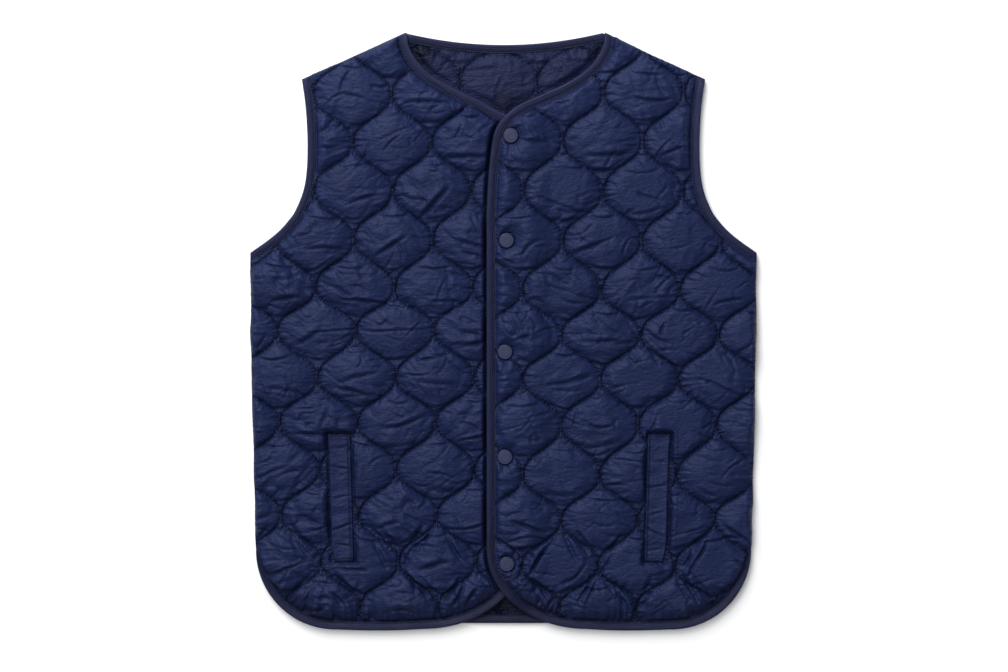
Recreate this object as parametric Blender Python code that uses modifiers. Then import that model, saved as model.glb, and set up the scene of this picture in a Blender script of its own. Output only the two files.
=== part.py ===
"""A sleeveless quilted vest, laid flat with its front up.

X runs across the vest, Y up towards the neck and Z off the surface that it lies on. The back lies lowest,
the left front lies on it, and the right front laps over the left one. Every length is in metres.
"""

import math

import bmesh
import bpy
import numpy as np
from mathutils.geometry import delaunay_2d_cdt

# Thickness, from the surface up
GAP = 0.0003  # between pieces that are sewn together
LAY_GAP = 0.0004  # between layers that lie on each other
BINDING_WALL = 0.0009
BOUND_EDGE = 0.0036  # a bound edge, over both of the binding's legs
BACK_THICKNESS = BOUND_EDGE
FRONT_FLOOR = BACK_THICKNESS + LAY_GAP
LAP_RISE = BOUND_EDGE + LAY_GAP  # how far the right front climbs on to the left one
STITCHED = 0.0024  # a front's thickness where it is stitched down
TONGUE_LOW = BINDING_WALL + GAP  # a panel's lower face inside its binding

# Binding
BINDING_WIDTH = 0.0085
PANEL_INSET = BINDING_WALL + GAP  # the panel's edge behind the binding's fold
TONGUE_STEP = 0.001  # over this width a panel grows back to its full thickness
FOLD_ROUND = 0.001
BEYOND_EDGE = 0.005  # how far a binding's footprint reaches past the edge
BEYOND_END = 0.008  # and past its ends

# Outline shared by both sides, as distance from the centre line and height
SHOULDER_TIP = (0.2020, 0.2525)
ARMHOLE = [  # half_width, height
    (0.2535, 0.0790),
    (0.2365, 0.0910),
    (0.2245, 0.1010),
    (0.2155, 0.1110),
    (0.2085, 0.1210),
    (0.2005, 0.1410),
    (0.1972, 0.1610),
    (0.1963, 0.1850),
    (0.1970, 0.2080),
    (0.1988, 0.2300),
    SHOULDER_TIP,
]
SIDE = [  # half_width, height
    (0.2480, -0.2185),
    (0.2495, -0.1600),
    (0.2510, -0.1000),
    (0.2525, -0.0300),
    (0.2532, 0.0300),
    (0.2535, 0.0790),
]
HEM_CORNER_RADIUS = 0.080
HEM_CORNER_CENTRE = (0.1680, -0.2185)
HEM = [(0.0815, -0.2980), (0.1000, -0.2990), (0.1190, -0.2995), (0.1430, -0.2993), (0.1680, -0.2985)]
FRONT_CORNER_RISE = 0.080  # the rounded lower front corners, where they meet the straight edge
FRONT_CORNER_HEIGHT = -0.2180
RIGHT_EDGE = -0.0170  # each front edge and its corner's centre, as distance from the centre line
RIGHT_CORNER = 0.0830
LEFT_EDGE = -0.0220
LEFT_CORNER = 0.0810
STRAIGHT_TO = 0.0900  # the front edge is straight up to here, and then leans back

# Each front's neckline, from the shoulder to the top of its straight front edge
RIGHT_NECK = [  # distance from the centre, height
    (0.1015, 0.2995),
    (0.0995, 0.2850),
    (0.0880, 0.2670),
    (0.0670, 0.2510),
    (0.0400, 0.2380),
    (0.0170, 0.2276),
    (0.0008, 0.2150),
    (-0.0080, 0.2020),
    (-0.0120, 0.1860),
    (-0.0155, 0.1500),
    (RIGHT_EDGE, 0.1150),
    (RIGHT_EDGE, STRAIGHT_TO),
]
LEFT_NECK = [  # distance from the centre, height
    (0.0970, 0.2995),
    (0.0925, 0.2810),
    (0.0760, 0.2600),
    (0.0490, 0.2436),
    (0.0225, 0.2310),
    (0.0046, 0.2205),
    (-0.0040, 0.2170),
    (-0.0130, 0.2130),
    (-0.0192, 0.2055),
    (-0.0218, 0.1920),
    (LEFT_EDGE, 0.1600),
    (LEFT_EDGE, STRAIGHT_TO),
]
BACK_NECK_LOW = 0.2875
BACK_NECK_RISE = 0.0120
BACK_NECK_HALF = 0.0990
BACK_HEM = -0.2925
BACK_CORNER_RADIUS = 0.078
BACK_SIDE_INSET = 0.0005

# Quilting: pairs of wavy stitch lines that meet at pinches and swell apart between them
PUFF_HEIGHT = 0.0066
PUFF_ROUND = 0.6  # lower is fuller
CELL_WIDTH = 0.078
WAVE = 0.0190  # how far a stitch line swings to either side
STITCH_LINES = range(-3, 9)
ROWS_RIGHT = [0.2885, 0.2400, 0.1915, 0.1395, 0.0915, 0.0415, -0.0035, -0.0465, -0.0935, -0.1435, -0.1885,
              -0.2345, -0.2765, -0.3235]
ROWS_LEFT = [0.2855, 0.2375, 0.1895, 0.1415, 0.0915, 0.0435, 0.0015, -0.0465, -0.0905, -0.1385, -0.1835,
             -0.2300, -0.2765, -0.3230]
ROWS_BACK = [0.3460, 0.2990, 0.2520, 0.2050, 0.1580]
BACK_PUFF = 0.0026
RIM_FADE = 0.013  # puffs grow to full height over this distance from an edge
EDGE_KEEP = 0.0035  # no quilting point lies nearer than this to an edge
QUILTED = (-0.32, 0.31)  # the quilted heights of a front
QUILTED_BACK = (0.17, 0.31)  # and those of the back, whose inside shows only in the neck

# Snaps, from the neck down: across, up
SNAPS = [(0.0073, 0.1957), (0.0030, 0.0910), (0.0015, -0.0205), (0.0015, -0.1255), (0.0033, -0.2325)]
CAP_RADIUS = 0.0076
CAP_HEIGHT = 0.0026
CAP_EDGE = 0.0009
STUD_RADIUS = 0.0050
STUD_HEAD = 0.0032
STUD_HEIGHT = 0.0010
SEAT_RADIUS = 0.0105  # the cloth is pressed flat this far round a snap
SEAT_FADE = 0.0100
SEAT_KEEP = 0.0005  # no point of a seat lies nearer than this to an edge

# Pocket welts, as the two ends of the middle line and the width: across, up
WELT_RIGHT = ((0.1560, -0.1025), (0.1525, -0.2300))
WELT_LEFT = ((-0.1648, -0.1025), (-0.1612, -0.2300))
WELT_WIDTH = 0.0230
WELT_THICKNESS = 0.0016
WELT_FLATTEN = 0.72  # how much of the quilting is pressed out under a welt
WELT_FADE = 0.0120

CURVE_STEP = 0.0125
STRAIGHT_STEP = 0.024
LAP_FADE = 0.026  # the right front comes down from the left one over this distance
LAP_CLEAR = 0.0025
LAP_ACROSS = (-0.002, 0.06, 0.009)  # points of the right front's lower face: from, to, step
LAP_UP = (-0.285, 0.24, 0.024)
LAP_KEEP = 0.002  # how far they keep from the edges
LAY_CLEAR = 0.0015  # a lower layer is pressed flat this far past the edge that lies on it
NECK_BOTTOM = 0.2120
LAP_PUFF = 0.0008  # what is left of the left front's puffs under the right one
NECK_VIEW_FADE = 0.014

NAVY = (0.0137, 0.0194, 0.0865, 1.0)
BINDING_NAVY = (0.0185, 0.0230, 0.0790, 1.0)
SNAP_NAVY = (0.0270, 0.0340, 0.1000, 1.0)


def clear_scene():
    for thing in list(bpy.data.objects):
        bpy.data.objects.remove(thing, do_unlink=True)


def new_collection(name):
    collection = bpy.data.collections.new(name)
    bpy.context.scene.collection.children.link(collection)
    return collection


def material(name, color, roughness):
    made = bpy.data.materials.new(name)
    made.use_nodes = True
    shader = made.node_tree.nodes["Principled BSDF"]
    shader.inputs["Base Color"].default_value = color
    shader.inputs["Roughness"].default_value = roughness
    shader.inputs["Metallic"].default_value = 0.0
    return made


# Plane curves

def spaced(line, step):
    """The same line with points an even distance of about one step apart."""
    steps = np.linalg.norm(np.diff(line, axis=0), axis=1)
    along = np.concatenate([[0.0], np.cumsum(steps)])
    at = np.linspace(0.0, along[-1], max(2, round(along[-1] / step) + 1))
    return np.column_stack([np.interp(at, along, line[:, 0]), np.interp(at, along, line[:, 1])])


def smooth(rows, step):
    """Points about one step apart on a Catmull-Rom curve through the rows."""
    rows = np.array(rows, float)
    ends = np.vstack([2 * rows[0] - rows[1], rows, 2 * rows[-1] - rows[-2]])
    fine = []
    for before, start, end, after in zip(ends, ends[1:], ends[2:], ends[3:]):
        for t in np.linspace(0.0, 1.0, 12, endpoint=False):
            bend = 2 * before - 5 * start + 4 * end - after
            twist = 3 * start - before - 3 * end + after
            fine.append(0.5 * (2 * start + (end - before) * t + bend * t**2 + twist * t**3))
    fine.append(rows[-1])
    return spaced(np.array(fine), step)


def ellipse(centre, radii, start, end, step):
    """An arc about one step apart, from one angle to the other in degrees."""
    angles = np.radians(np.linspace(start, end, 60))
    fine = np.column_stack([centre[0] + radii[0] * np.cos(angles), centre[1] + radii[1] * np.sin(angles)])
    return spaced(fine, step)


def joined(*pieces):
    """One line from pieces whose ends meet."""
    line = [np.array(pieces[0])]
    for piece in pieces[1:]:
        line.append(np.array(piece)[1:])
    return np.vstack(line)


def inside(points, outline):
    """True for each point that lies within the closed outline."""
    x, y = points[:, 0, None], points[:, 1, None]
    x1, y1 = outline[:, 0], outline[:, 1]
    x2, y2 = np.roll(x1, -1), np.roll(y1, -1)
    spans = (y1 > y) != (y2 > y)
    rise = np.where(y2 == y1, 1e-12, y2 - y1)
    crossing = x < (x2 - x1) * (y - y1) / rise + x1
    return (spans & crossing).sum(axis=1) % 2 == 1


def distance(points, line):
    """How far each point is from an open line."""
    start, end = line[None, :-1], line[None, 1:]
    along = end - start
    length = np.maximum((along**2).sum(-1), 1e-18)
    share = np.clip(((points[:, None] - start) * along).sum(-1) / length, 0.0, 1.0)
    return np.linalg.norm(points[:, None] - start - share[..., None] * along, axis=-1).min(axis=1)


def outside(points, outline):
    """How far each point lies outside the closed outline, 0 within it."""
    ring = np.vstack([outline, outline[:1]])
    return np.where(inside(points, outline), 0.0, distance(points, ring))


def ease(value, start, end):
    """0 before the start and 1 after the end, with a soft step between."""
    t = np.clip((value - start) / (end - start), 0.0, 1.0)
    return t * t * (3 - 2 * t)


# Outlines. A run is one edge of a panel, and the runs go round it anticlockwise.

def run(points, bound):
    return {"points": np.array(points), "bound": bound}


def front_runs(neck, edge, corner):
    """A front on the +X side, with its straight front edge and its rounded corner's centre."""
    radii = (corner - edge, FRONT_CORNER_RISE)
    round_corner = ellipse((corner, FRONT_CORNER_HEIGHT), radii, 180, 270, CURVE_STEP)
    hem = [tuple(round_corner[-1])] + HEM[1:]
    straight = spaced(np.array([(edge, STRAIGHT_TO), (edge, FRONT_CORNER_HEIGHT)]), STRAIGHT_STEP)
    outer = ellipse(HEM_CORNER_CENTRE, (HEM_CORNER_RADIUS,) * 2, 270, 360, CURVE_STEP)
    opening = joined(smooth(neck, CURVE_STEP), straight, round_corner, smooth(hem, CURVE_STEP), outer)
    return [
        run(smooth(SIDE, STRAIGHT_STEP / 2), False),
        run(smooth(ARMHOLE, CURVE_STEP), True),
        run(spaced(np.array([SHOULDER_TIP, neck[0]]), CURVE_STEP), False),
        run(opening, True),
    ]


def mirrored(runs):
    """The same runs on the other side of the centre line, still anticlockwise."""
    flipped = []
    for edge in reversed(runs):
        flipped.append(run(edge["points"][::-1] * (-1, 1), edge["bound"]))
    return flipped


def back_runs():
    """The whole back, from the right side up and round by the neck."""
    side = [(x - BACK_SIDE_INSET, y) for x, y in SIDE]
    radius = BACK_CORNER_RADIUS
    centre = (side[0][0] - radius, BACK_HEM + radius)
    side[0] = (side[0][0], centre[1])
    corner = ellipse(centre, (radius, radius), 270, 360, CURVE_STEP)
    half_hem = spaced(np.array([(0.0, BACK_HEM), (centre[0], BACK_HEM)]), STRAIGHT_STEP)
    right_hem = joined(half_hem, corner)
    hem = joined(right_hem[::-1] * (-1, 1), right_hem)
    across = np.linspace(BACK_NECK_HALF, -BACK_NECK_HALF, 60)
    neck = np.column_stack([across, BACK_NECK_LOW + BACK_NECK_RISE * (across / BACK_NECK_HALF) ** 2])
    right = [
        run(smooth(side, STRAIGHT_STEP), False),
        run(smooth(ARMHOLE, CURVE_STEP), True),
        run(spaced(np.array([SHOULDER_TIP, neck[0]]), STRAIGHT_STEP), False),
    ]
    return right + [run(spaced(neck, CURVE_STEP), True)] + mirrored(right) + [run(hem, True)]


def stations(runs, index):
    """Where a bound run's cross-sections stand: place, inward direction, direction of travel and shear.

    At a seam the last section is sheared, so that the binding ends along the seam's line.
    """
    points = runs[index]["points"]
    travel = np.gradient(points, axis=0)
    travel /= np.linalg.norm(travel, axis=1)[:, None]
    inward = np.column_stack([-travel[:, 1], travel[:, 0]])
    shear = np.zeros(len(points))
    before = runs[index - 1]["points"]
    after = runs[(index + 1) % len(runs)]["points"]
    for at, seam in ((0, before[-2] - before[-1]), (-1, after[1] - after[0])):
        across = seam @ inward[at] / np.linalg.norm(seam)
        if across > 0.3:
            shear[at] = seam @ travel[at] / np.linalg.norm(seam) / across
    return {"place": points, "inward": inward, "travel": travel, "shear": shear}


def beside(edge, depth, past=0.0):
    """The line that lies the given depth inside a bound run, and runs on past both its ends."""
    depth_along = depth * edge["shear"]
    depth_along[0] -= past
    depth_along[-1] += past
    return edge["place"] + edge["inward"] * depth + edge["travel"] * depth_along[:, None]


def is_square(edge, at):
    return edge["shear"][at] == 0


def fence(edge, depth, past):
    """A line inside a bound run that closes off its binding, also across a square end."""
    line = beside(edge, depth, 0.0)
    for at, way in ((0, -1), (-1, 1)):
        far = past if is_square(edge, at) else BEYOND_END
        tip = line[at] + edge["travel"][at] * way * far
        extra = [tip]
        if is_square(edge, at):
            corner = edge["travel"][at] * way * far - edge["inward"][at] * BEYOND_EDGE
            extra.append(edge["place"][at] + corner)
        line = np.vstack([extra[::-1], line]) if at == 0 else np.vstack([line, extra])
    return line


def footprint(edge):
    """The closed shape of what lies inside a binding."""
    depth = BINDING_WIDTH + GAP + TONGUE_STEP / 2
    inner = fence(edge, depth, GAP + TONGUE_STEP / 2)
    outer = beside(edge, -BEYOND_EDGE, BEYOND_END)
    return np.vstack([inner, outer[::-1]])


def bound_edges(runs):
    return [stations(runs, i) for i, edge in enumerate(runs) if edge["bound"]]


def panel_outline(runs):
    """A panel's own edge: behind the binding's fold on bound runs, and on the seam line elsewhere."""
    line = []
    for i, edge in enumerate(runs):
        if edge["bound"]:
            line.append(beside(stations(runs, i), PANEL_INSET))
            continue
        points = edge["points"].copy()
        ahead = (points[1] - points[0]) / np.linalg.norm(points[1] - points[0])
        behind = (points[-2] - points[-1]) / np.linalg.norm(points[-2] - points[-1])
        start, end = stations(runs, i - 1), stations(runs, (i + 1) % len(runs))
        middle = [points[1:-1]]
        if is_square(start, -1):
            middle.insert(0, [points[0] + ahead * GAP])
        if is_square(end, 0):
            middle.append([points[-1] + behind * GAP])
        line.append(np.vstack(middle))
    return np.vstack(line)


def garment_outline(runs):
    return np.vstack([edge["points"][:-1] for edge in runs])


# Quilting

def make_quilt(side, first_column, pitch, rows, first_row, touching, taper, shift):
    """A quilting pattern: columns of pinches on one side of the centre, and the heights of its rows."""
    return {
        "side": side,
        "first": first_column,
        "pitch": pitch,
        "rows": np.array(rows),
        "first_row": first_row,
        "touching": touching,
        "taper": taper,
        "shift": shift,
    }


def row_of(quilt, height):
    """The row number at a height, as a fraction between rows."""
    return np.interp(-height, -quilt["rows"], np.arange(len(quilt["rows"])))


def column_place(quilt, column, height):
    down = quilt["rows"][quilt["first_row"]] - height
    place = (quilt["first"] + quilt["pitch"] * column) * (1 - quilt["taper"] * down)
    return quilt["side"] * place + quilt["shift"] * down


def stitch_line(quilt, number, height):
    """Where a stitch line is at a height: it swings to the pinch on one side and then on the other."""
    middle = column_place(quilt, number + 0.5, height)
    way = np.where((number + quilt["touching"]) % 2 == 0, -1, 1) * quilt["side"]
    turn = np.cos(np.pi * (row_of(quilt, height) - quilt["first_row"]))
    return middle + way * WAVE * turn


def puff(quilt, points):
    """The quilting's height at each point, from 0 on a stitch line to 1 at the middle of a cell."""
    height = np.zeros(len(points))
    x, y = points[:, 0], points[:, 1]
    for number in STITCH_LINES:
        left = stitch_line(quilt, number, y)
        right = stitch_line(quilt, number + 1, y)
        left, right = np.minimum(left, right), np.maximum(left, right)
        width = np.maximum(right - left, 1e-6)
        share = np.clip((x - left) / width, 0.0, 1.0)
        swell = (4 * share * (1 - share)) ** PUFF_ROUND * np.clip(width / CELL_WIDTH, 0, 1) ** 0.8
        height = np.maximum(height, swell)
    return height


def quilt_lines(quilt, low, high, rows_each):
    """Stitch lines and the points between them, as rows of a fixed share of each half wave."""
    steps = np.arange(0, (len(quilt["rows"]) - 1) * rows_each + 1) / rows_each
    heights = -np.interp(steps, np.arange(len(quilt["rows"])), -quilt["rows"])
    heights = heights[(heights > low) & (heights < high)]
    lines = []
    for number in STITCH_LINES:
        lines.append(np.column_stack([stitch_line(quilt, number, heights), heights]))
    return lines


def cell_points(quilt, low, high):
    """Points within the cells, fewer where a cell is narrow."""
    shares_by_width = [(0.052, (0.22, 0.5, 0.78)), (0.030, (0.33, 0.67)), (0.011, (0.5,))]
    steps = np.arange(0, (len(quilt["rows"]) - 1) * 4 + 1) / 4
    heights = -np.interp(steps, np.arange(len(quilt["rows"])), -quilt["rows"])
    points = []
    for height in heights[(heights > low) & (heights < high)]:
        for number in STITCH_LINES[:-1]:
            left = float(stitch_line(quilt, number, height))
            right = float(stitch_line(quilt, number + 1, height))
            for least, shares in shares_by_width:
                if abs(right - left) > least:
                    points += [(left + (right - left) * share, height) for share in shares]
                    break
    return np.array(points)


# Surfaces

class Panel:
    """One cut piece: its runs, its quilting and the heights of its two faces."""

    def __init__(self, runs, quilt, floor, relief):
        self.runs = runs
        self.quilt = quilt
        self.floor = floor
        self.relief = relief
        self.edges = bound_edges(runs)
        self.outline = panel_outline(runs)
        self.prints = [footprint(edge) for edge in self.edges]
        self.bound = [edge["place"] for edge in self.edges]
        self.seams = [edge["points"] for edge in runs if not edge["bound"]]

    def in_binding(self, points):
        held = np.zeros(len(points), bool)
        for shape in self.prints:
            held |= inside(points, shape)
        return held

    def rim(self, points):
        """How far each point is from the nearest binding or seam."""
        from_binding = np.min([distance(points, line) for line in self.bound], axis=0)
        from_seam = np.min([distance(points, line) for line in self.seams], axis=0)
        return np.minimum(from_binding - BINDING_WIDTH - TONGUE_STEP, from_seam)

    def top(self, points):
        plump = self.relief(points) * np.sqrt(ease(self.rim(points), 0.0, RIM_FADE))
        return self.floor(points) + np.where(self.in_binding(points), 0.0, plump)

    def bottom(self, points):
        return self.floor(points) + np.where(self.in_binding(points), TONGUE_LOW, 0.0)


def kept(panel, points, margin):
    """The points that lie in the panel, no nearer than the margin to its edges."""
    points = np.array(points).reshape(-1, 2)
    within = inside(points, panel.outline)
    return within & (panel.rim(points) > margin)


def plane_faces(outline, lines, points):
    """A Delaunay mesh of the outline that keeps to the lines, as places and triangles."""
    places, edges = [tuple(p) for p in outline], []
    edges += [(i, (i + 1) % len(outline)) for i in range(len(outline))]
    for line in lines:
        first = len(places)
        places += [tuple(p) for p in line]
        edges += [(first + i, first + i + 1) for i in range(len(line) - 1)]
    places += [tuple(p) for p in points]
    spots, _, faces, _, _, _ = delaunay_2d_cdt(places, edges, [], 0, 1e-6)
    spots = np.array([tuple(p) for p in spots])
    faces = np.array(faces)
    middles = spots[faces].mean(axis=1)
    return spots, faces[inside(middles, outline)]


def add_sheet(mesh, spots, faces, heights, upward):
    """Lays the triangles into the mesh at the given heights, and returns them."""
    used = np.unique(faces)
    vertices = {}
    for index in used:
        vertices[index] = mesh.verts.new((*spots[index], heights[index]))
    made = []
    for a, b, c in faces:
        corners = (vertices[a], vertices[b], vertices[c])
        made.append(mesh.faces.new(corners if upward else corners[::-1]))
    return made


def open_edges(faces):
    return [edge for edge in {e for face in faces for e in face.edges} if len(edge.link_faces) == 1]


def runs_of(line, keep):
    """The stretches of a line whose points are all kept."""
    stretches, current = [], []
    for point, good in zip(line, keep):
        if good:
            current.append(point)
            continue
        if len(current) > 1:
            stretches.append(np.array(current))
        current = []
    if len(current) > 1:
        stretches.append(np.array(current))
    return stretches


def fences(panel):
    lines = []
    for edge in panel.edges:
        lines.append(fence(edge, BINDING_WIDTH + GAP, GAP))
        lines.append(fence(edge, BINDING_WIDTH + GAP + TONGUE_STEP, GAP + TONGUE_STEP))
    return lines


def panel_mesh(panel, area, extra_lines, extra_points, lower_points):
    """A closed wall: the quilted face over a plain one, joined round the edge."""
    low, high = area
    lines = fences(panel)
    points = [np.array(extra_points).reshape(-1, 2)]
    blocked = [np.array(line) for line in extra_lines]
    for line in quilt_lines(panel.quilt, low, high, 5):
        keep = kept(panel, line, EDGE_KEEP)
        for shape in blocked:
            keep &= distance(line, shape) > EDGE_KEEP
        lines += runs_of(line, keep)
    cells = cell_points(panel.quilt, low, high)
    keep = kept(panel, cells, EDGE_KEEP)
    for shape in blocked:
        keep &= distance(cells, shape) > EDGE_KEEP
    points.append(cells[keep])
    spots, faces = plane_faces(panel.outline, lines + blocked, np.vstack(points))
    mesh = bmesh.new()
    upper = add_sheet(mesh, spots, faces, panel.top(spots) + STITCHED, True)
    spots, faces = plane_faces(panel.outline, fences(panel), lower_points)
    add_sheet(mesh, spots, faces, panel.bottom(spots), False)
    rim = open_edges(upper)
    drawn = bmesh.ops.extrude_edge_only(mesh, edges=rim)["geom"]
    dropped = [item for item in drawn if isinstance(item, bmesh.types.BMVert)]
    heights = panel.bottom(np.array([tuple(v.co)[:2] for v in dropped]))
    for vertex, height in zip(dropped, heights):
        vertex.co.z = height
    bmesh.ops.remove_doubles(mesh, verts=mesh.verts, dist=2e-6)
    bmesh.ops.recalc_face_normals(mesh, faces=mesh.faces)
    return mesh


def add_object(name, mesh, paint, collection):
    data = bpy.data.meshes.new(name)
    mesh.to_mesh(data)
    mesh.free()
    data.materials.append(paint)
    made = bpy.data.objects.new(name, data)
    collection.objects.link(made)
    return made


# Pieces

def binding_section():
    """The folded tape's section, as depth in from its fold and height above its lower face."""
    width, wall, high, turn = BINDING_WIDTH, BINDING_WALL, BOUND_EDGE, FOLD_ROUND
    return [
        (width, 0.0),
        (turn, 0.0),
        (0.0, turn),
        (0.0, high - turn),
        (turn, high),
        (width, high),
        (width, high - wall),
        (wall, high - wall),
        (wall, wall),
        (width, wall),
    ]


def binding(name, panel, number, paint, collection):
    """A tape folded over one bound edge, lofted from section to section."""
    edge = panel.edges[number]
    section = binding_section()
    depths = [beside(edge, depth) for depth, _ in section]
    mesh = bmesh.new()
    rings = []
    for i in range(len(edge["place"])):
        places = np.array([line[i] for line in depths])
        heights = panel.floor(places) + [height for _, height in section]
        rings.append([mesh.verts.new((*place, height)) for place, height in zip(places, heights)])
    count = len(section)
    for ring, following in zip(rings, rings[1:]):
        for k in range(count):
            after = (k + 1) % count
            mesh.faces.new((ring[k], ring[after], following[after], following[k]))
    mesh.faces.new(rings[0][::-1])
    mesh.faces.new(rings[-1])
    bmesh.ops.recalc_face_normals(mesh, faces=mesh.faces)
    bmesh.ops.triangulate(mesh, faces=mesh.faces)
    return add_object(name, mesh, paint, collection)


def welt_outline(ends, step):
    """A welt's closed edge, as points round a leaning rectangle."""
    top, foot = np.array(ends[0]), np.array(ends[1])
    across = np.array([1.0, 0.0]) * WELT_WIDTH / 2
    corners = [foot - across, foot + across, top + across, top - across, foot - across]
    sides = [spaced(np.array([a, b]), step) for a, b in zip(corners, corners[1:])]
    return joined(*sides)


def welt(name, panel, ends, paint, collection):
    """A folded strip made from the front's own surface, moved out."""
    shape = welt_outline(ends, CURVE_STEP)
    across = np.linspace(-1, 1, 3) * WELT_WIDTH / 2 * 0.5
    top, foot = np.array(ends[0]), np.array(ends[1])
    middle = [top + (foot - top) * share + (x, 0) for share in np.linspace(0.06, 0.94, 12) for x in across]
    spots, faces = plane_faces(shape[:-1], [], middle)
    mesh = bmesh.new()
    rest = panel.top(spots) + STITCHED + GAP
    lower = add_sheet(mesh, spots, faces, rest, False)
    drawn = bmesh.ops.extrude_face_region(mesh, geom=lower)["geom"]
    for item in drawn:
        if isinstance(item, bmesh.types.BMVert):
            item.co.z += WELT_THICKNESS
    bmesh.ops.recalc_face_normals(mesh, faces=mesh.faces)
    return add_object(name, mesh, paint, collection)


def turned(name, profile, place, paint, collection, steps):
    """A round piece: a profile on +X, from its top down, turned about Z."""
    mesh = bmesh.new()
    line = [mesh.verts.new((radius, 0.0, height)) for radius, height in profile]
    for upper, lower in zip(line, line[1:]):
        mesh.edges.new((upper, lower))
    made = add_object(name, mesh, paint, collection)
    made.location = place
    screw = made.modifiers.new("Turn", "SCREW")
    screw.steps = steps
    screw.render_steps = steps
    screw.use_merge_vertices = True
    screw.merge_threshold = 0.00001
    screw.use_smooth_shade = True
    return made


def snap_cap(name, place, paint, collection):
    profile = [
        (0.0, CAP_HEIGHT),
        (CAP_RADIUS * 0.55, CAP_HEIGHT * 0.95),
        (CAP_RADIUS * 0.86, CAP_HEIGHT * 0.78),
        (CAP_RADIUS, CAP_EDGE),
        (CAP_RADIUS * 0.96, 0.0),
        (0.0, 0.0),
    ]
    return turned(name, profile, place, paint, collection, 24)


def snap_stud(name, place, paint, collection):
    profile = [
        (0.0, STUD_HEIGHT),
        (STUD_HEAD, STUD_HEIGHT),
        (STUD_HEAD, STUD_HEIGHT / 2),
        (STUD_RADIUS, STUD_HEIGHT / 2),
        (STUD_RADIUS, 0.0),
        (0.0, 0.0),
    ]
    return turned(name, profile, place, paint, collection, 16)


def seats(points):
    """0 where the cloth is pressed flat round a snap, and 1 away from the snaps."""
    free = np.ones(len(points))
    for place in SNAPS:
        away = np.linalg.norm(points - place, axis=1)
        free = np.minimum(free, ease(away, SEAT_RADIUS, SEAT_RADIUS + SEAT_FADE))
    return free


def pressed_by_welt(points, ends):
    """How much of the quilting is left near a welt."""
    shape = welt_outline(ends, CURVE_STEP)[:-1]
    return 1 - WELT_FLATTEN * (1 - ease(outside(points, shape), 0.0, WELT_FADE))


def seat_points(panel):
    ring = []
    for x, y in SNAPS:
        ring.append((x, y))
        for angle in np.radians(np.arange(0, 360, 36)):
            ring.append((x + SEAT_RADIUS * math.cos(angle), y + SEAT_RADIUS * math.sin(angle)))
    ring = np.array(ring)
    return ring[kept(panel, ring, SEAT_KEEP)]


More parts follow.
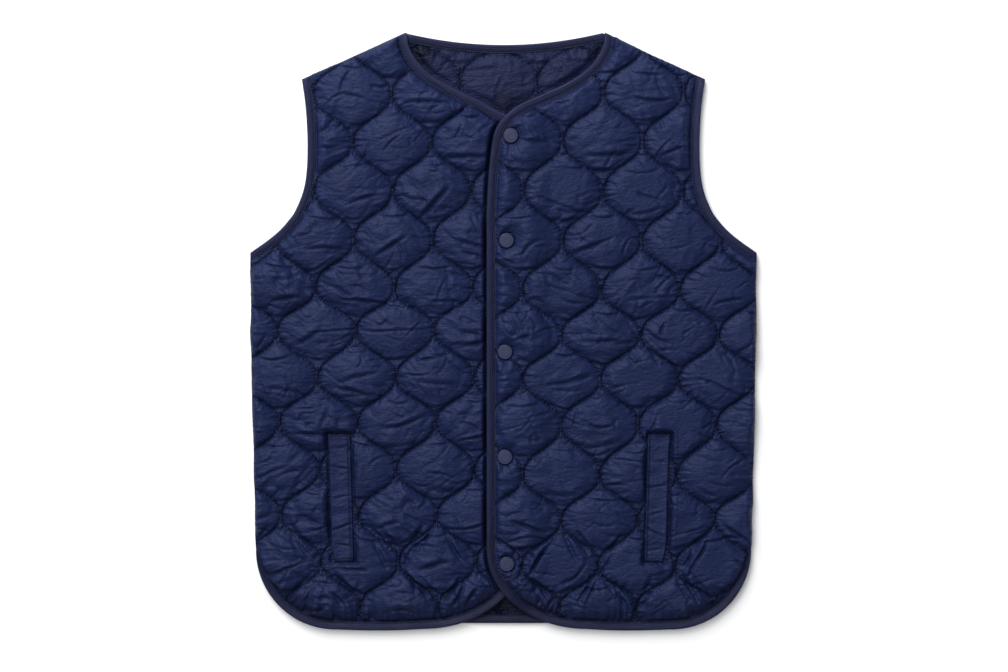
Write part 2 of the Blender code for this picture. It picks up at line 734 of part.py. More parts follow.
def build():
    clear_scene()
    collection = new_collection("quilted_vest")
    cloth = {name: material(f"{name}_nylon", NAVY, 0.42) for name in ("back", "front_left", "front_right")}
    tape = material("binding_tape", BINDING_NAVY, 0.7)
    strip = material("welt_nylon", NAVY, 0.45)
    plastic = material("snap_plastic", SNAP_NAVY, 0.55)

    right_runs = front_runs(RIGHT_NECK, RIGHT_EDGE, RIGHT_CORNER)
    left_runs = mirrored(front_runs(LEFT_NECK, LEFT_EDGE, LEFT_CORNER))
    right_shape, left_shape = garment_outline(right_runs), garment_outline(left_runs)

    def right_floor(points):
        away = outside(points, left_shape)
        return FRONT_FLOOR + LAP_RISE * (1 - ease(away, LAP_CLEAR, LAP_CLEAR + LAP_FADE))

    def right_relief(points):
        return PUFF_HEIGHT * puff(quilt_right, points) * seats(points) * pressed_by_welt(points, WELT_RIGHT)

    def left_floor(points):
        return np.full(len(points), FRONT_FLOOR)

    def left_relief(points):
        free = ease(outside(points, right_shape), LAP_CLEAR, LAP_CLEAR + RIM_FADE) * seats(points)
        height = LAP_PUFF + (PUFF_HEIGHT - LAP_PUFF) * free
        return height * puff(quilt_left, points) * seats(points) * pressed_by_welt(points, WELT_LEFT)

    def back_floor(points):
        return np.zeros(len(points))

    def back_relief(points):
        seen = np.minimum(outside(points, right_shape), outside(points, left_shape))
        showing = ease(seen, LAP_CLEAR, LAP_CLEAR + NECK_VIEW_FADE) * (points[:, 1] > 0)
        return BACK_THICKNESS - STITCHED + BACK_PUFF * puff(quilt_back, points) * showing

    quilt_right = make_quilt(1, 0.0200, 0.0400, ROWS_RIGHT, 2, 1, 0.105, 0.0)
    quilt_left = make_quilt(-1, 0.0315, 0.0395, ROWS_LEFT, 3, 0, 0.045, 0.010)
    quilt_back = make_quilt(1, -0.0435, 0.0390, ROWS_BACK, 2, 0, 0.0, 0.0)

    right = Panel(right_runs, quilt_right, right_floor, right_relief)
    left = Panel(left_runs, quilt_left, left_floor, left_relief)
    back = Panel(back_runs(), quilt_back, back_floor, back_relief)

    right_edge, left_edge = beside(right.edges[1], -LAY_CLEAR), beside(left.edges[0], -LAY_CLEAR)
    neckline = []
    for line in (right_edge, left_edge):
        neckline += runs_of(line, kept(back, line, EDGE_KEEP) & (line[:, 1] > NECK_BOTTOM))
    lap_line = runs_of(right_edge, kept(left, right_edge, EDGE_KEEP))

    lap_grid = [(x, y) for x in np.arange(*LAP_ACROSS) for y in np.arange(*LAP_UP)]
    lap_grid = np.array(lap_grid)[kept(right, lap_grid, LAP_KEEP)]
    right_welt, left_welt = welt_outline(WELT_RIGHT, CURVE_STEP), welt_outline(WELT_LEFT, CURVE_STEP)
    add_object("front_right", panel_mesh(right, QUILTED, [right_welt], seat_points(right), lap_grid),
               cloth["front_right"], collection)
    add_object("front_left", panel_mesh(left, QUILTED, [left_welt, *lap_line], seat_points(left), []),
               cloth["front_left"], collection)
    add_object("back", panel_mesh(back, QUILTED_BACK, neckline, [], []), cloth["back"], collection)

    binding("armhole_binding_front_right", right, 0, tape, collection)
    binding("edge_binding_right", right, 1, tape, collection)
    binding("edge_binding_left", left, 0, tape, collection)
    binding("armhole_binding_front_left", left, 1, tape, collection)
    binding("armhole_binding_back_right", back, 0, tape, collection)
    binding("neck_binding_back", back, 1, tape, collection)
    binding("armhole_binding_back_left", back, 2, tape, collection)
    binding("hem_binding_back", back, 3, tape, collection)

    welt("welt_right", right, WELT_RIGHT, strip, collection)
    welt("welt_left", left, WELT_LEFT, strip, collection)

    cap_height = FRONT_FLOOR + LAP_RISE + STITCHED + GAP
    stud_height = FRONT_FLOOR + STITCHED + GAP
    for number, (x, y) in enumerate(SNAPS, start=1):
        snap_cap(f"snap_cap_{number}", (x, y, cap_height), plastic, collection)
        snap_stud(f"snap_stud_{number}", (x, y, stud_height), plastic, collection)


build()
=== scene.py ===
import math
import bmesh
import bpy
import numpy as np
from mathutils import Matrix, Vector


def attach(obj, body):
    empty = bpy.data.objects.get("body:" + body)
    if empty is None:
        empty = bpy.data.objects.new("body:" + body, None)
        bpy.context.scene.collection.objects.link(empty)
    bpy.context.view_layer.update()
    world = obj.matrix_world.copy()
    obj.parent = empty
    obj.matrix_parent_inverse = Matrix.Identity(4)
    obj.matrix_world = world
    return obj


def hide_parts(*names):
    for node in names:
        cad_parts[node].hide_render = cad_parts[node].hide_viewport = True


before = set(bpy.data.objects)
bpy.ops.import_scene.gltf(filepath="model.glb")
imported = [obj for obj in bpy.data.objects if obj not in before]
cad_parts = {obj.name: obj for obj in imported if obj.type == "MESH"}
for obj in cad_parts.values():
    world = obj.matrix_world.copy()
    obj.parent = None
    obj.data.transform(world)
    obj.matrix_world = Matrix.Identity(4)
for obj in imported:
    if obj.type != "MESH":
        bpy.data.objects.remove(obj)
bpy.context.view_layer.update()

mm = 0.001  # sizes below are in millimetres, in the frame's own axes
farOff = 1e9  # further than any real distance
farFromSeams = 50  # far enough for a finish to show no stitching
print("frame loaded")

# The cut of the vest: distance from the centre line and height
cut = {
    "armhole": [(253.5, 79), (236.5, 91), (224.5, 101), (215.5, 111), (208.5, 121), (200.5, 141),
                (197.2, 161), (196.3, 185), (197, 208), (198.8, 230), (202, 252.5)],
    "side": [(248, -218.5), (249.5, -160), (251, -100), (252.5, -30), (253.2, 30), (253.5, 79)],
    "hem": [(81.5, -298), (100, -299), (119, -299.5), (143, -299.3), (168, -298.5)],
    "hemCorner": (168, -218.5, 80),
    "frontCorner": (-218, 80),
    "straightTo": 90,
    "rightNeck": [(101.5, 299.5), (99.5, 285), (88, 267), (67, 251), (40, 238), (17, 227.6), (0.8, 215),
                  (-8, 202), (-12, 186), (-15.5, 150), (-17, 115), (-17, 90)],
    "leftNeck": [(97, 299.5), (92.5, 281), (76, 260), (49, 243.6), (22.5, 231), (4.6, 220.5), (-4, 217),
                 (-13, 213), (-19.2, 205.5), (-21.8, 192), (-22, 160), (-22, 90)],
    "rightEdge": (-17, 83),
    "leftEdge": (-22, 81),
    "backNeck": (287.5, 12, 99),
    "backHem": -292.5,
    "backCorner": 78,
    "backInset": 0.5,
}

# Heights above the surface that the vest lies on
layers = {
    "frontFloor": 4.0, "stitched": 2.4, "bound": 3.6, "inside": 2.0, "thinnest": 1.3,
    "lapRise": 4.0, "lapClear": 2.5, "lapFade": 26, "underLap": 1.2, "lapDip": 1.3, "lapPuff": 0.6,
    "lapGrow": 4, "puff": 8.6, "backPuff": 4.2, "backDetail": 1.15, "rimFade": 9, "edgePucker": 1.25,
    "soft": 0.3, "hemEase": (235, 275), "free": 40.0,
}

tape = {"width": 8.5, "wall": 0.9, "step": 2.4, "stitchIn": 7.2, "pucker": 0.16, "taper": 0.7,
        "lineAt": 2.0, "settled": 0.28, "settledOver": 9, "sway": 0.18}

# Quilting: columns of pinches, and the heights of its rows
quilts = {
    "right": {"side": 1, "first": 20, "pitch": 40, "firstRow": 2, "touching": 1, "taper": 0.000105,
              "shift": 0, "rows": [288.5, 240, 191.5, 139.5, 91.5, 41.5, -3.5, -46.5, -93.5, -143.5,
                                   -188.5, -234.5, -276.5, -323.5]},
    "left": {"side": -1, "first": 31.5, "pitch": 39.5, "firstRow": 3, "touching": 0, "taper": 0.000045,
             "shift": 0.010, "rows": [285.5, 237.5, 189.5, 141.5, 91.5, 43.5, 1.5, -46.5, -90.5, -138.5,
                                      -183.5, -230, -276.5, -323]},
    "back": {"side": 1, "first": -43.5, "pitch": 39, "firstRow": 2, "touching": 0, "taper": 0, "shift": 0,
             "rows": [346, 299, 252, 205, 158, 111]},
}
wave = 18.3
waveBend = 0.3  # makes the stitch lines rounder at the sides of a cell
columnNumbers = range(-4, 10)
quiltSpan = (-330, 340)  # past both ends of the vest
lineRun, edgeRun = 61.7, 700  # keep the stitches of two lines, or of two edges, unlike

snaps = [(7.3, 195.7), (3, 91), (1.5, -20.5), (1.5, -125.5), (3.3, -232.5)]
snapCap = {"radius": 7.6, "height": 2.6, "seat": 7.6, "sunk": 0.4, "deep": 9.0, "fade": 9.0, "segments": 64}
welts = {
    "right": {"top": (156, -102.5), "foot": (152.5, -230), "width": 23, "open": 1},
    "left": {"top": (-164.8, -102.5), "foot": (-161.2, -230), "width": 23, "open": -1},
}
weltCloth = {"sunk": 0.6, "slope": 3.5, "trench": 0.9, "line": 0.8, "lineAt": 2.9, "gather": 0.26,
             "grid": 0.9, "stand": 2.6, "slit": (1.3, 2.6), "fold": 1.1, "sideStitch": 2.6, "endStitch": 2.2}


# Plane curves, as arrays of points in millimetres
curveSteps = 12  # between two points of a smooth line
arcSteps = 90


def runAlong(line):
    return np.concatenate([[0], np.cumsum(np.linalg.norm(np.diff(line, axis=0), axis=1))])


def spaced(line, step):
    line = np.asarray(line, float)
    along = runAlong(line)
    at = np.linspace(0, along[-1], max(2, round(along[-1] / step) + 1))
    return np.column_stack([np.interp(at, along, line[:, 0]), np.interp(at, along, line[:, 1])])


def smooth(rows, step):
    rows = np.array(rows, float)
    ends = np.vstack([2 * rows[0] - rows[1], rows, 2 * rows[-1] - rows[-2]])
    fine = []
    for a, b, c, d in zip(ends, ends[1:], ends[2:], ends[3:]):
        for t in np.linspace(0, 1, curveSteps, endpoint=False):
            fine.append(0.5 * (2 * b + (c - a) * t + (2 * a - 5 * b + 4 * c - d) * t**2
                               + (3 * b - a - 3 * c + d) * t**3))
    fine.append(rows[-1])
    return spaced(fine, step)


def arc(centre, radii, start, end, step):
    turn = np.radians(np.linspace(start, end, arcSteps))
    return spaced(np.column_stack([centre[0] + radii[0] * np.cos(turn),
                                   centre[1] + radii[1] * np.sin(turn)]), step)


def joined(*lines):
    return np.vstack([np.asarray(lines[0])] + [np.asarray(line)[1:] for line in lines[1:]])


def inside(x, y, outline):
    held = np.zeros(len(x), bool)
    for (x1, y1), (x2, y2) in zip(outline, np.roll(outline, -1, axis=0)):
        if y1 != y2:
            spans = (y1 > y) != (y2 > y)
            held ^= spans & (x < (x2 - x1) * (y - y1) / (y2 - y1) + x1)
    return held


def nearest(x, y, line):
    # distance from each point to an open line, the nearest place on it and how far along that is
    best = np.full(len(x), farOff)
    spotX, spotY, run = np.zeros(len(x)), np.zeros(len(x)), np.zeros(len(x))
    passed = 0.0
    for (x1, y1), (x2, y2) in zip(line, line[1:]):
        dx, dy = x2 - x1, y2 - y1
        share = np.clip(((x - x1) * dx + (y - y1) * dy) / max(dx * dx + dy * dy, 1e-9), 0, 1)
        px, py = x1 + share * dx, y1 + share * dy
        away = np.hypot(x - px, y - py)
        closer = away < best
        best[closer], spotX[closer], spotY[closer] = away[closer], px[closer], py[closer]
        run[closer] = passed + share[closer] * math.hypot(dx, dy)
        passed += math.hypot(dx, dy)
    return best, spotX, spotY, run


def outside(x, y, outline):
    ring = np.vstack([outline, outline[:1]])
    return np.where(inside(x, y, outline), 0.0, nearest(x, y, ring)[0])


def ease(value, start, end):
    t = np.clip((value - start) / (end - start), 0, 1)
    return t * t * (3 - 2 * t)


def bell(value, width):
    return np.exp(-((value / width) ** 2))


# Outlines: each panel's edges go round it anticlockwise, and the bound ones carry tape

def frontEdges(neck, edge):
    step = tape["step"]
    height, rise = cut["frontCorner"]
    corner = arc((edge[1], height), (edge[1] - edge[0], rise), 180, 270, step)
    straight = spaced([(edge[0], cut["straightTo"]), (edge[0], height)], step)
    x, y, radius = cut["hemCorner"]
    outer = arc((x, y), (radius, radius), 270, 360, step)
    hem = [tuple(corner[-1])] + cut["hem"][1:]
    opening = joined(smooth(neck, step), straight, corner, smooth(hem, step), outer)
    return [
        {"points": smooth(cut["side"], step), "bound": False},
        {"points": smooth(cut["armhole"], step), "bound": True},
        {"points": spaced([cut["armhole"][-1], neck[0]], step), "bound": False},
        {"points": opening, "bound": True},
    ]


def mirrored(edges):
    return [{"points": edge["points"][::-1] * (-1, 1), "bound": edge["bound"]} for edge in reversed(edges)]


def backEdges():
    step = tape["step"]
    low, rise, half = cut["backNeck"]
    radius, hem = cut["backCorner"], cut["backHem"]
    side = [(x - cut["backInset"], y) for x, y in cut["side"]]
    centre = (side[0][0] - radius, hem + radius)
    side[0] = (side[0][0], centre[1])
    across = np.linspace(half, -half, 60)
    neck = spaced(np.column_stack([across, low + rise * (across / half) ** 2]), step)
    right = [
        {"points": smooth(side, step), "bound": False},
        {"points": smooth(cut["armhole"], step), "bound": True},
        {"points": spaced([cut["armhole"][-1], neck[0]], step), "bound": False},
    ]
    corner = arc(centre, (radius, radius), 270, 360, step)
    rightHem = joined(spaced([(0, hem), (centre[0], hem)], step), corner)
    bottom = joined(rightHem[::-1] * (-1, 1), rightHem)
    return right + [{"points": neck, "bound": True}] + mirrored(right) + [{"points": bottom, "bound": True}]


def outlineOf(edges):
    return np.vstack([edge["points"][:-1] for edge in edges])


def stations(edges, index):
    points = edges[index]["points"]
    travel = np.gradient(points, axis=0)
    travel /= np.linalg.norm(travel, axis=1)[:, None]
    inward = np.column_stack([-travel[:, 1], travel[:, 0]])
    shear = np.zeros(len(points))
    before, after = edges[index - 1]["points"], edges[(index + 1) % len(edges)]["points"]
    for at, seam in ((0, before[-2] - before[-1]), (-1, after[1] - after[0])):
        across = seam @ inward[at] / np.linalg.norm(seam)
        if across > 0.3:
            shear[at] = seam @ travel[at] / np.linalg.norm(seam) / across
    # a sheared end is eased in over the next few stations
    reach = 6
    for k in range(1, reach):
        shear[k] = shear[0] * (1 - k / reach)
        shear[-1 - k] = shear[-1] * (1 - k / reach)
    return {"place": points, "inward": inward, "travel": travel, "shear": shear}


panelEdges = {
    "right": frontEdges(cut["rightNeck"], cut["rightEdge"]),
    "left": mirrored(frontEdges(cut["leftNeck"], cut["leftEdge"])),
    "back": backEdges(),
}
outlines = {name: outlineOf(edges) for name, edges in panelEdges.items()}


# Soft noise on a lattice, the same each run

lattices = {}


def lattice(seed, size=256):
    if seed not in lattices:
        lattices[seed] = np.random.default_rng(seed).random((size, size))
    return lattices[seed]


def noise(x, y, seed):
    table = lattice(seed)
    size = len(table)
    ix, iy = np.floor(x).astype(int), np.floor(y).astype(int)
    fx, fy = x - ix, y - iy
    fx, fy = fx * fx * (3 - 2 * fx), fy * fy * (3 - 2 * fy)
    a = table[ix % size, iy % size] * (1 - fx) + table[(ix + 1) % size, iy % size] * fx
    b = table[ix % size, (iy + 1) % size] * (1 - fx) + table[(ix + 1) % size, (iy + 1) % size] * fx
    return (a * (1 - fy) + b * fy) * 2 - 1


def ridges(x, y, seed):
    return 1 - 2 * np.abs(noise(x, y, seed))


# Quilting

def rowOf(quilt, y):
    rows = np.array(quilt["rows"])
    return np.interp(-y, -rows, np.arange(len(rows))) - quilt["firstRow"]


def columnAt(quilt, column, y):
    down = quilt["rows"][quilt["firstRow"]] - y
    place = (quilt["first"] + quilt["pitch"] * column) * (1 - quilt["taper"] * down)
    return quilt["side"] * place + quilt["shift"] * down


def stitchAt(quilt, number, y):
    way = (-1 if (number + quilt["touching"]) % 2 == 0 else 1) * quilt["side"]
    swing = np.cos(np.pi * rowOf(quilt, y))
    return columnAt(quilt, number + 0.5, y) + way * wave * ((1 + waveBend) * swing - waveBend * swing**3)


def cells(quilt, x, y):
    # where each point is in its cell, and how it lies to the nearest stitch line
    count = len(x)
    found = {key: np.zeros(count) for key in ("share", "width", "column", "middle", "drop", "away", "along")}
    found["away"] += farOff
    fineStep = 0.5
    fineY = np.arange(*quiltSpan, fineStep)
    row = rowOf(quilt, y)
    for number in columnNumbers:
        line, following = stitchAt(quilt, number, y), stitchAt(quilt, number + 1, y)
        low, high = np.minimum(line, following), np.maximum(line, following)
        here = (x >= low) & (x < high)
        column = number + 1
        width = np.maximum(high - low, 0.01)
        odd = (column + quilt["touching"]) % 2 == 0
        middle = np.round((row - 1) / 2) * 2 + 1 if odd else np.round(row / 2) * 2
        found["share"][here] = ((x - low) / width)[here]
        found["width"][here] = width[here]
        found["column"][here] = column
        found["middle"][here] = middle[here]
        found["drop"][here] = (row - middle)[here]
        fineX = stitchAt(quilt, number, fineY)
        length = np.concatenate([[0], np.cumsum(np.hypot(np.diff(fineX), fineStep))])
        slope = np.gradient(fineX, fineY)
        lean = np.interp(y, fineY, slope)
        offset = x - line
        away = np.abs(offset) / np.sqrt(1 + lean**2)
        foot = y + offset * lean / (1 + lean**2)
        closer = away < found["away"]
        found["away"][closer] = away[closer]
        found["along"][closer] = np.interp(foot, fineY, length)[closer] + number * lineRun
    return found


def crease(x, y, fold):
    # a trough, sharp on its lower side, with a soft ridge above it, tapered to both ends
    cx, cy, length, turn, depth, width, bend = fold
    c, s = math.cos(math.radians(turn)), math.sin(math.radians(turn))
    run, off = (x - cx) * c + (y - cy) * s, -(x - cx) * s + (y - cy) * c
    share = run / (length / 2)
    off = off - bend * share**2
    fade = np.clip(1 - share**2, 0, 1) ** 0.8
    trough = -1.25 * bell(off, width * np.where(off > 0, 1.5, 0.7))
    ridge = 0.6 * bell(off - 3.0 * width, 1.6 * width)
    return depth * fade * (trough + ridge)


# the folds of one cell: ranges of their place, length, turn, depth, width and bend
# where a fold has a spread instead of a turn, its turn is drawn round zero
foldKinds = {
    "bold": {"chance": 0.75, "across": (-12, 12), "down": (2, 17), "length": (24, 54), "spread": 17,
             "depth": (1.4, 3.2), "width": (1.0, 2.0), "bend": (-4, 4)},
    "smile": {"chance": 0.8, "across": (-4, 4), "up": (18, 25), "length": (32, 46), "spread": 5,
              "depth": (0.9, 2.0), "width": (0.8, 1.3), "bend": (2, 6)},
    "fine": {"count": (0, 3), "across": (-10, 10), "up": (12, 33), "length": (12, 28), "spread": 8,
             "depth": (0.4, 1.1), "width": (0.8, 1.3), "bend": (0.5, 3)},
    "slanting": {"count": (1, 6), "across": (-28, 28), "up": (-22, 20), "length": (11, 32), "turn": (-75, 75),
                 "depth": (0.5, 1.9), "width": (0.6, 1.3), "bend": (-4, 4)},
    "tuck": {"across": (-2, 2), "down": (29, 32), "length": (22, 32), "spread": 7, "depth": (0.4, 1.9),
             "width": (0.8, 1.2), "bend": (1, 5)},
}
# near the hem, folds fan out from the top of each cell
fans = {"below": -205, "count": 7, "from": 42, "far": (18, 52), "across": (-9, 9), "turn": (34, 66),
        "length": (22, 40), "depth": (2.0, 4.0), "width": (1.0, 1.9), "bend": (-4, 4)}


def foldOf(rng, x, y, kind):
    cx = x + rng.uniform(*kind["across"])
    cy = y + rng.uniform(*kind["up"]) if "up" in kind else y - rng.uniform(*kind["down"])
    length = rng.uniform(*kind["length"])
    turn = rng.uniform(*kind["turn"]) if "turn" in kind else rng.normal(0, kind["spread"])
    return (cx, cy, length, turn, *(rng.uniform(*kind[key]) for key in ("depth", "width", "bend")))


def cellFolds(quilt, seed, low, high):
    # the folds of each cell: a bold one, smiles above it, slanting ones, and near the hem a fan from its top,
    # and the tuck at its lower end, which lies outside the dome
    folds, tucks = [], []
    rows = quilt["rows"]
    for column in columnNumbers:
        for row in range(len(rows)):
            if (column + quilt["touching"] + row - quilt["firstRow"]) % 2 == 0 or not low < rows[row] < high:
                continue
            rng = np.random.default_rng(seed + 97 * (column + 20) + row)
            x, y = float(columnAt(quilt, column, rows[row])), rows[row]
            if rng.random() < foldKinds["bold"]["chance"]:
                folds.append(foldOf(rng, x, y, foldKinds["bold"]))
            if rng.random() < foldKinds["smile"]["chance"]:
                folds.append(foldOf(rng, x, y, foldKinds["smile"]))
            for kind in ("fine", "slanting"):
                for _ in range(rng.integers(*foldKinds[kind]["count"])):
                    folds.append(foldOf(rng, x, y, foldKinds[kind]))
            for _ in range(fans["count"] if y < fans["below"] else 0):
                turn = rng.uniform(*fans["turn"]) * rng.choice((-1, 1))
                far = math.copysign(rng.uniform(*fans["far"]), turn)
                cos, sin = math.cos(math.radians(turn)), math.sin(math.radians(turn))
                folds.append((x + rng.uniform(*fans["across"]) - far * cos, y + fans["from"] - far * sin,
                              rng.uniform(*fans["length"]), turn, rng.uniform(*fans["depth"]),
                              rng.uniform(*fans["width"]), rng.uniform(*fans["bend"])))
            tucks.append(foldOf(rng, x, y, foldKinds["tuck"]))
    return folds, tucks


def addFolds(folds, x, y, warpX, warpY):
    total = np.zeros(len(x))
    for fold in folds:
        near = (np.abs(x - fold[0]) < fold[2] * 0.6 + 8) & (np.abs(y - fold[1]) < fold[2] * 0.6 + 8)
        total[near] += crease(warpX[near], warpY[near], fold)
    return total


# one puff: its reach below, above and to the sides, how square it is, and the relief on it
form = {
    "low": 32.5, "high": 33.5, "half": 42, "lowPower": 2.8, "highPower": 3.4, "round": (0.56, 0.7),
    "across": 0.42, "neck": 0.27, "rowHeight": 48, "unlike": 0.12, "fullness": 0.2, "tilt": 1.1,
    "warp": (1.6, 0.8), "pleat": 0.95, "pleatPitch": 1.9, "pleatFrom": (0.96, 1.15), "pucker": 1.6,
    "puckerPitch": 2.3, "groove": 0.9, "ripple": 0.8, "ridge": 0.45, "vein": 1.7, "grain": 0.12,
}


def quiltHeight(quilt, x, y, seed, folds, tucks):
    # 0 along the stitch lines and about 1 at the middle of a cell
    strong, light = form["warp"]
    warpX = x + strong * noise(x / 23, y / 19, seed)
    warpY = y + strong * noise(x / 21, y / 23, seed + 1)
    lightX, lightY = light * noise(x / 31, y / 27, seed + 8), light * noise(x / 29, y / 33, seed + 9)
    found = cells(quilt, x + lightX, y + lightY)
    share, width, drop = found["share"], found["width"], found["drop"]
    # an elliptical dome, unlike its neighbours
    arch = np.clip(4 * share * (1 - share), 0, 1)
    unlike = (found["column"] * 3.7 + 0.3, found["middle"] * 2.9 + 0.4)
    aside = (share - 0.5) * width
    down = form["rowHeight"] * drop + 0.2 * noise(*unlike, seed + 20) * aside
    reach = np.where(down > 0, form["low"], form["high"]) * (1 + form["unlike"] * noise(*unlike, seed + 21))
    ringed = np.hypot(aside / form["half"], down / reach) + 0.06 * noise(x / 9, y / 6, seed + 22)
    power = np.where(down > 0, form["lowPower"], form["highPower"])
    dome = (1 - np.clip(ringed, 0, 1) ** power) ** np.where(down > 0, *form["round"]) * arch ** form["across"]
    neck = form["neck"] * np.clip(width / 10, 0, 1) ** 0.6 * arch**0.4
    height = np.hypot(dome, neck) * (1 + form["fullness"] * noise(*unlike, seed + 2))
    # its folds, the pleats beyond it and the gathers and the groove at the stitch line
    softly = np.clip(dome * 2.4, 0, 1)
    detail = softly * addFolds(folds, x, y, warpX, warpY)
    detail += np.clip(arch * 3, 0, 1) * addFolds(tucks, x, y, warpX, warpY)
    pleated = np.where(down > 0, 1.0, 0.85) * ease(ringed, *form["pleatFrom"]) * np.clip(arch * 2.2, 0, 1)
    curved = warpY + np.where(drop > 0, -1, 1) * 5.0 * (share - 0.5) ** 2
    detail += form["pleat"] * pleated * ridges(warpX / 34, curved / form["pleatPitch"], seed + 3)
    reachOf = 5.0 + 3.0 * noise(found["along"] / 8, found["column"] * 2.3, seed + 10)
    side = np.sign(share - 0.5)
    pucker = ridges(found["along"] / form["puckerPitch"], found["column"] * 5.1 + side * 1.3, seed + 4)
    atPinch = 0.75 + 0.9 * (1 - ease(np.abs(drop), 0.1, 0.4))
    beyond = np.clip(found["away"], 0, 1)
    detail += form["pucker"] * atPinch * pucker * np.exp(-found["away"] / reachOf) * beyond
    detail -= form["groove"] * bell(found["away"], 1.0)
    # slanting veins and ripples, livelier on some puffs
    tilt = form["tilt"] * noise(*unlike, seed + 23)
    turnedX = warpX * np.cos(tilt) + warpY * np.sin(tilt)
    turnedY = warpY * np.cos(tilt) - warpX * np.sin(tilt)
    lively = np.clip(1 + noise(*unlike, seed + 24), 0.2, 1.8)
    vein = (1 - np.abs(noise(turnedX / 19 + turnedY / 43, turnedY / 8.5, seed + 13))) ** 7
    patchy = np.clip(1.7 * noise(x / 18, y / 15, seed + 14) + 0.35, 0, 1)
    detail -= form["vein"] * lively * softly * vein * patchy
    detail += form["ripple"] * lively * softly * noise(turnedX / 17, turnedY / 9, seed + 5)
    detail += form["ridge"] * lively * softly * ridges(turnedX / 13 + turnedY / 31, turnedY / 5.6, seed + 6)
    detail += form["grain"] * noise(x / 3.6, y / 2.6, seed + 7)
    found["pleated"] = pleated
    return height, detail, found


# Panels

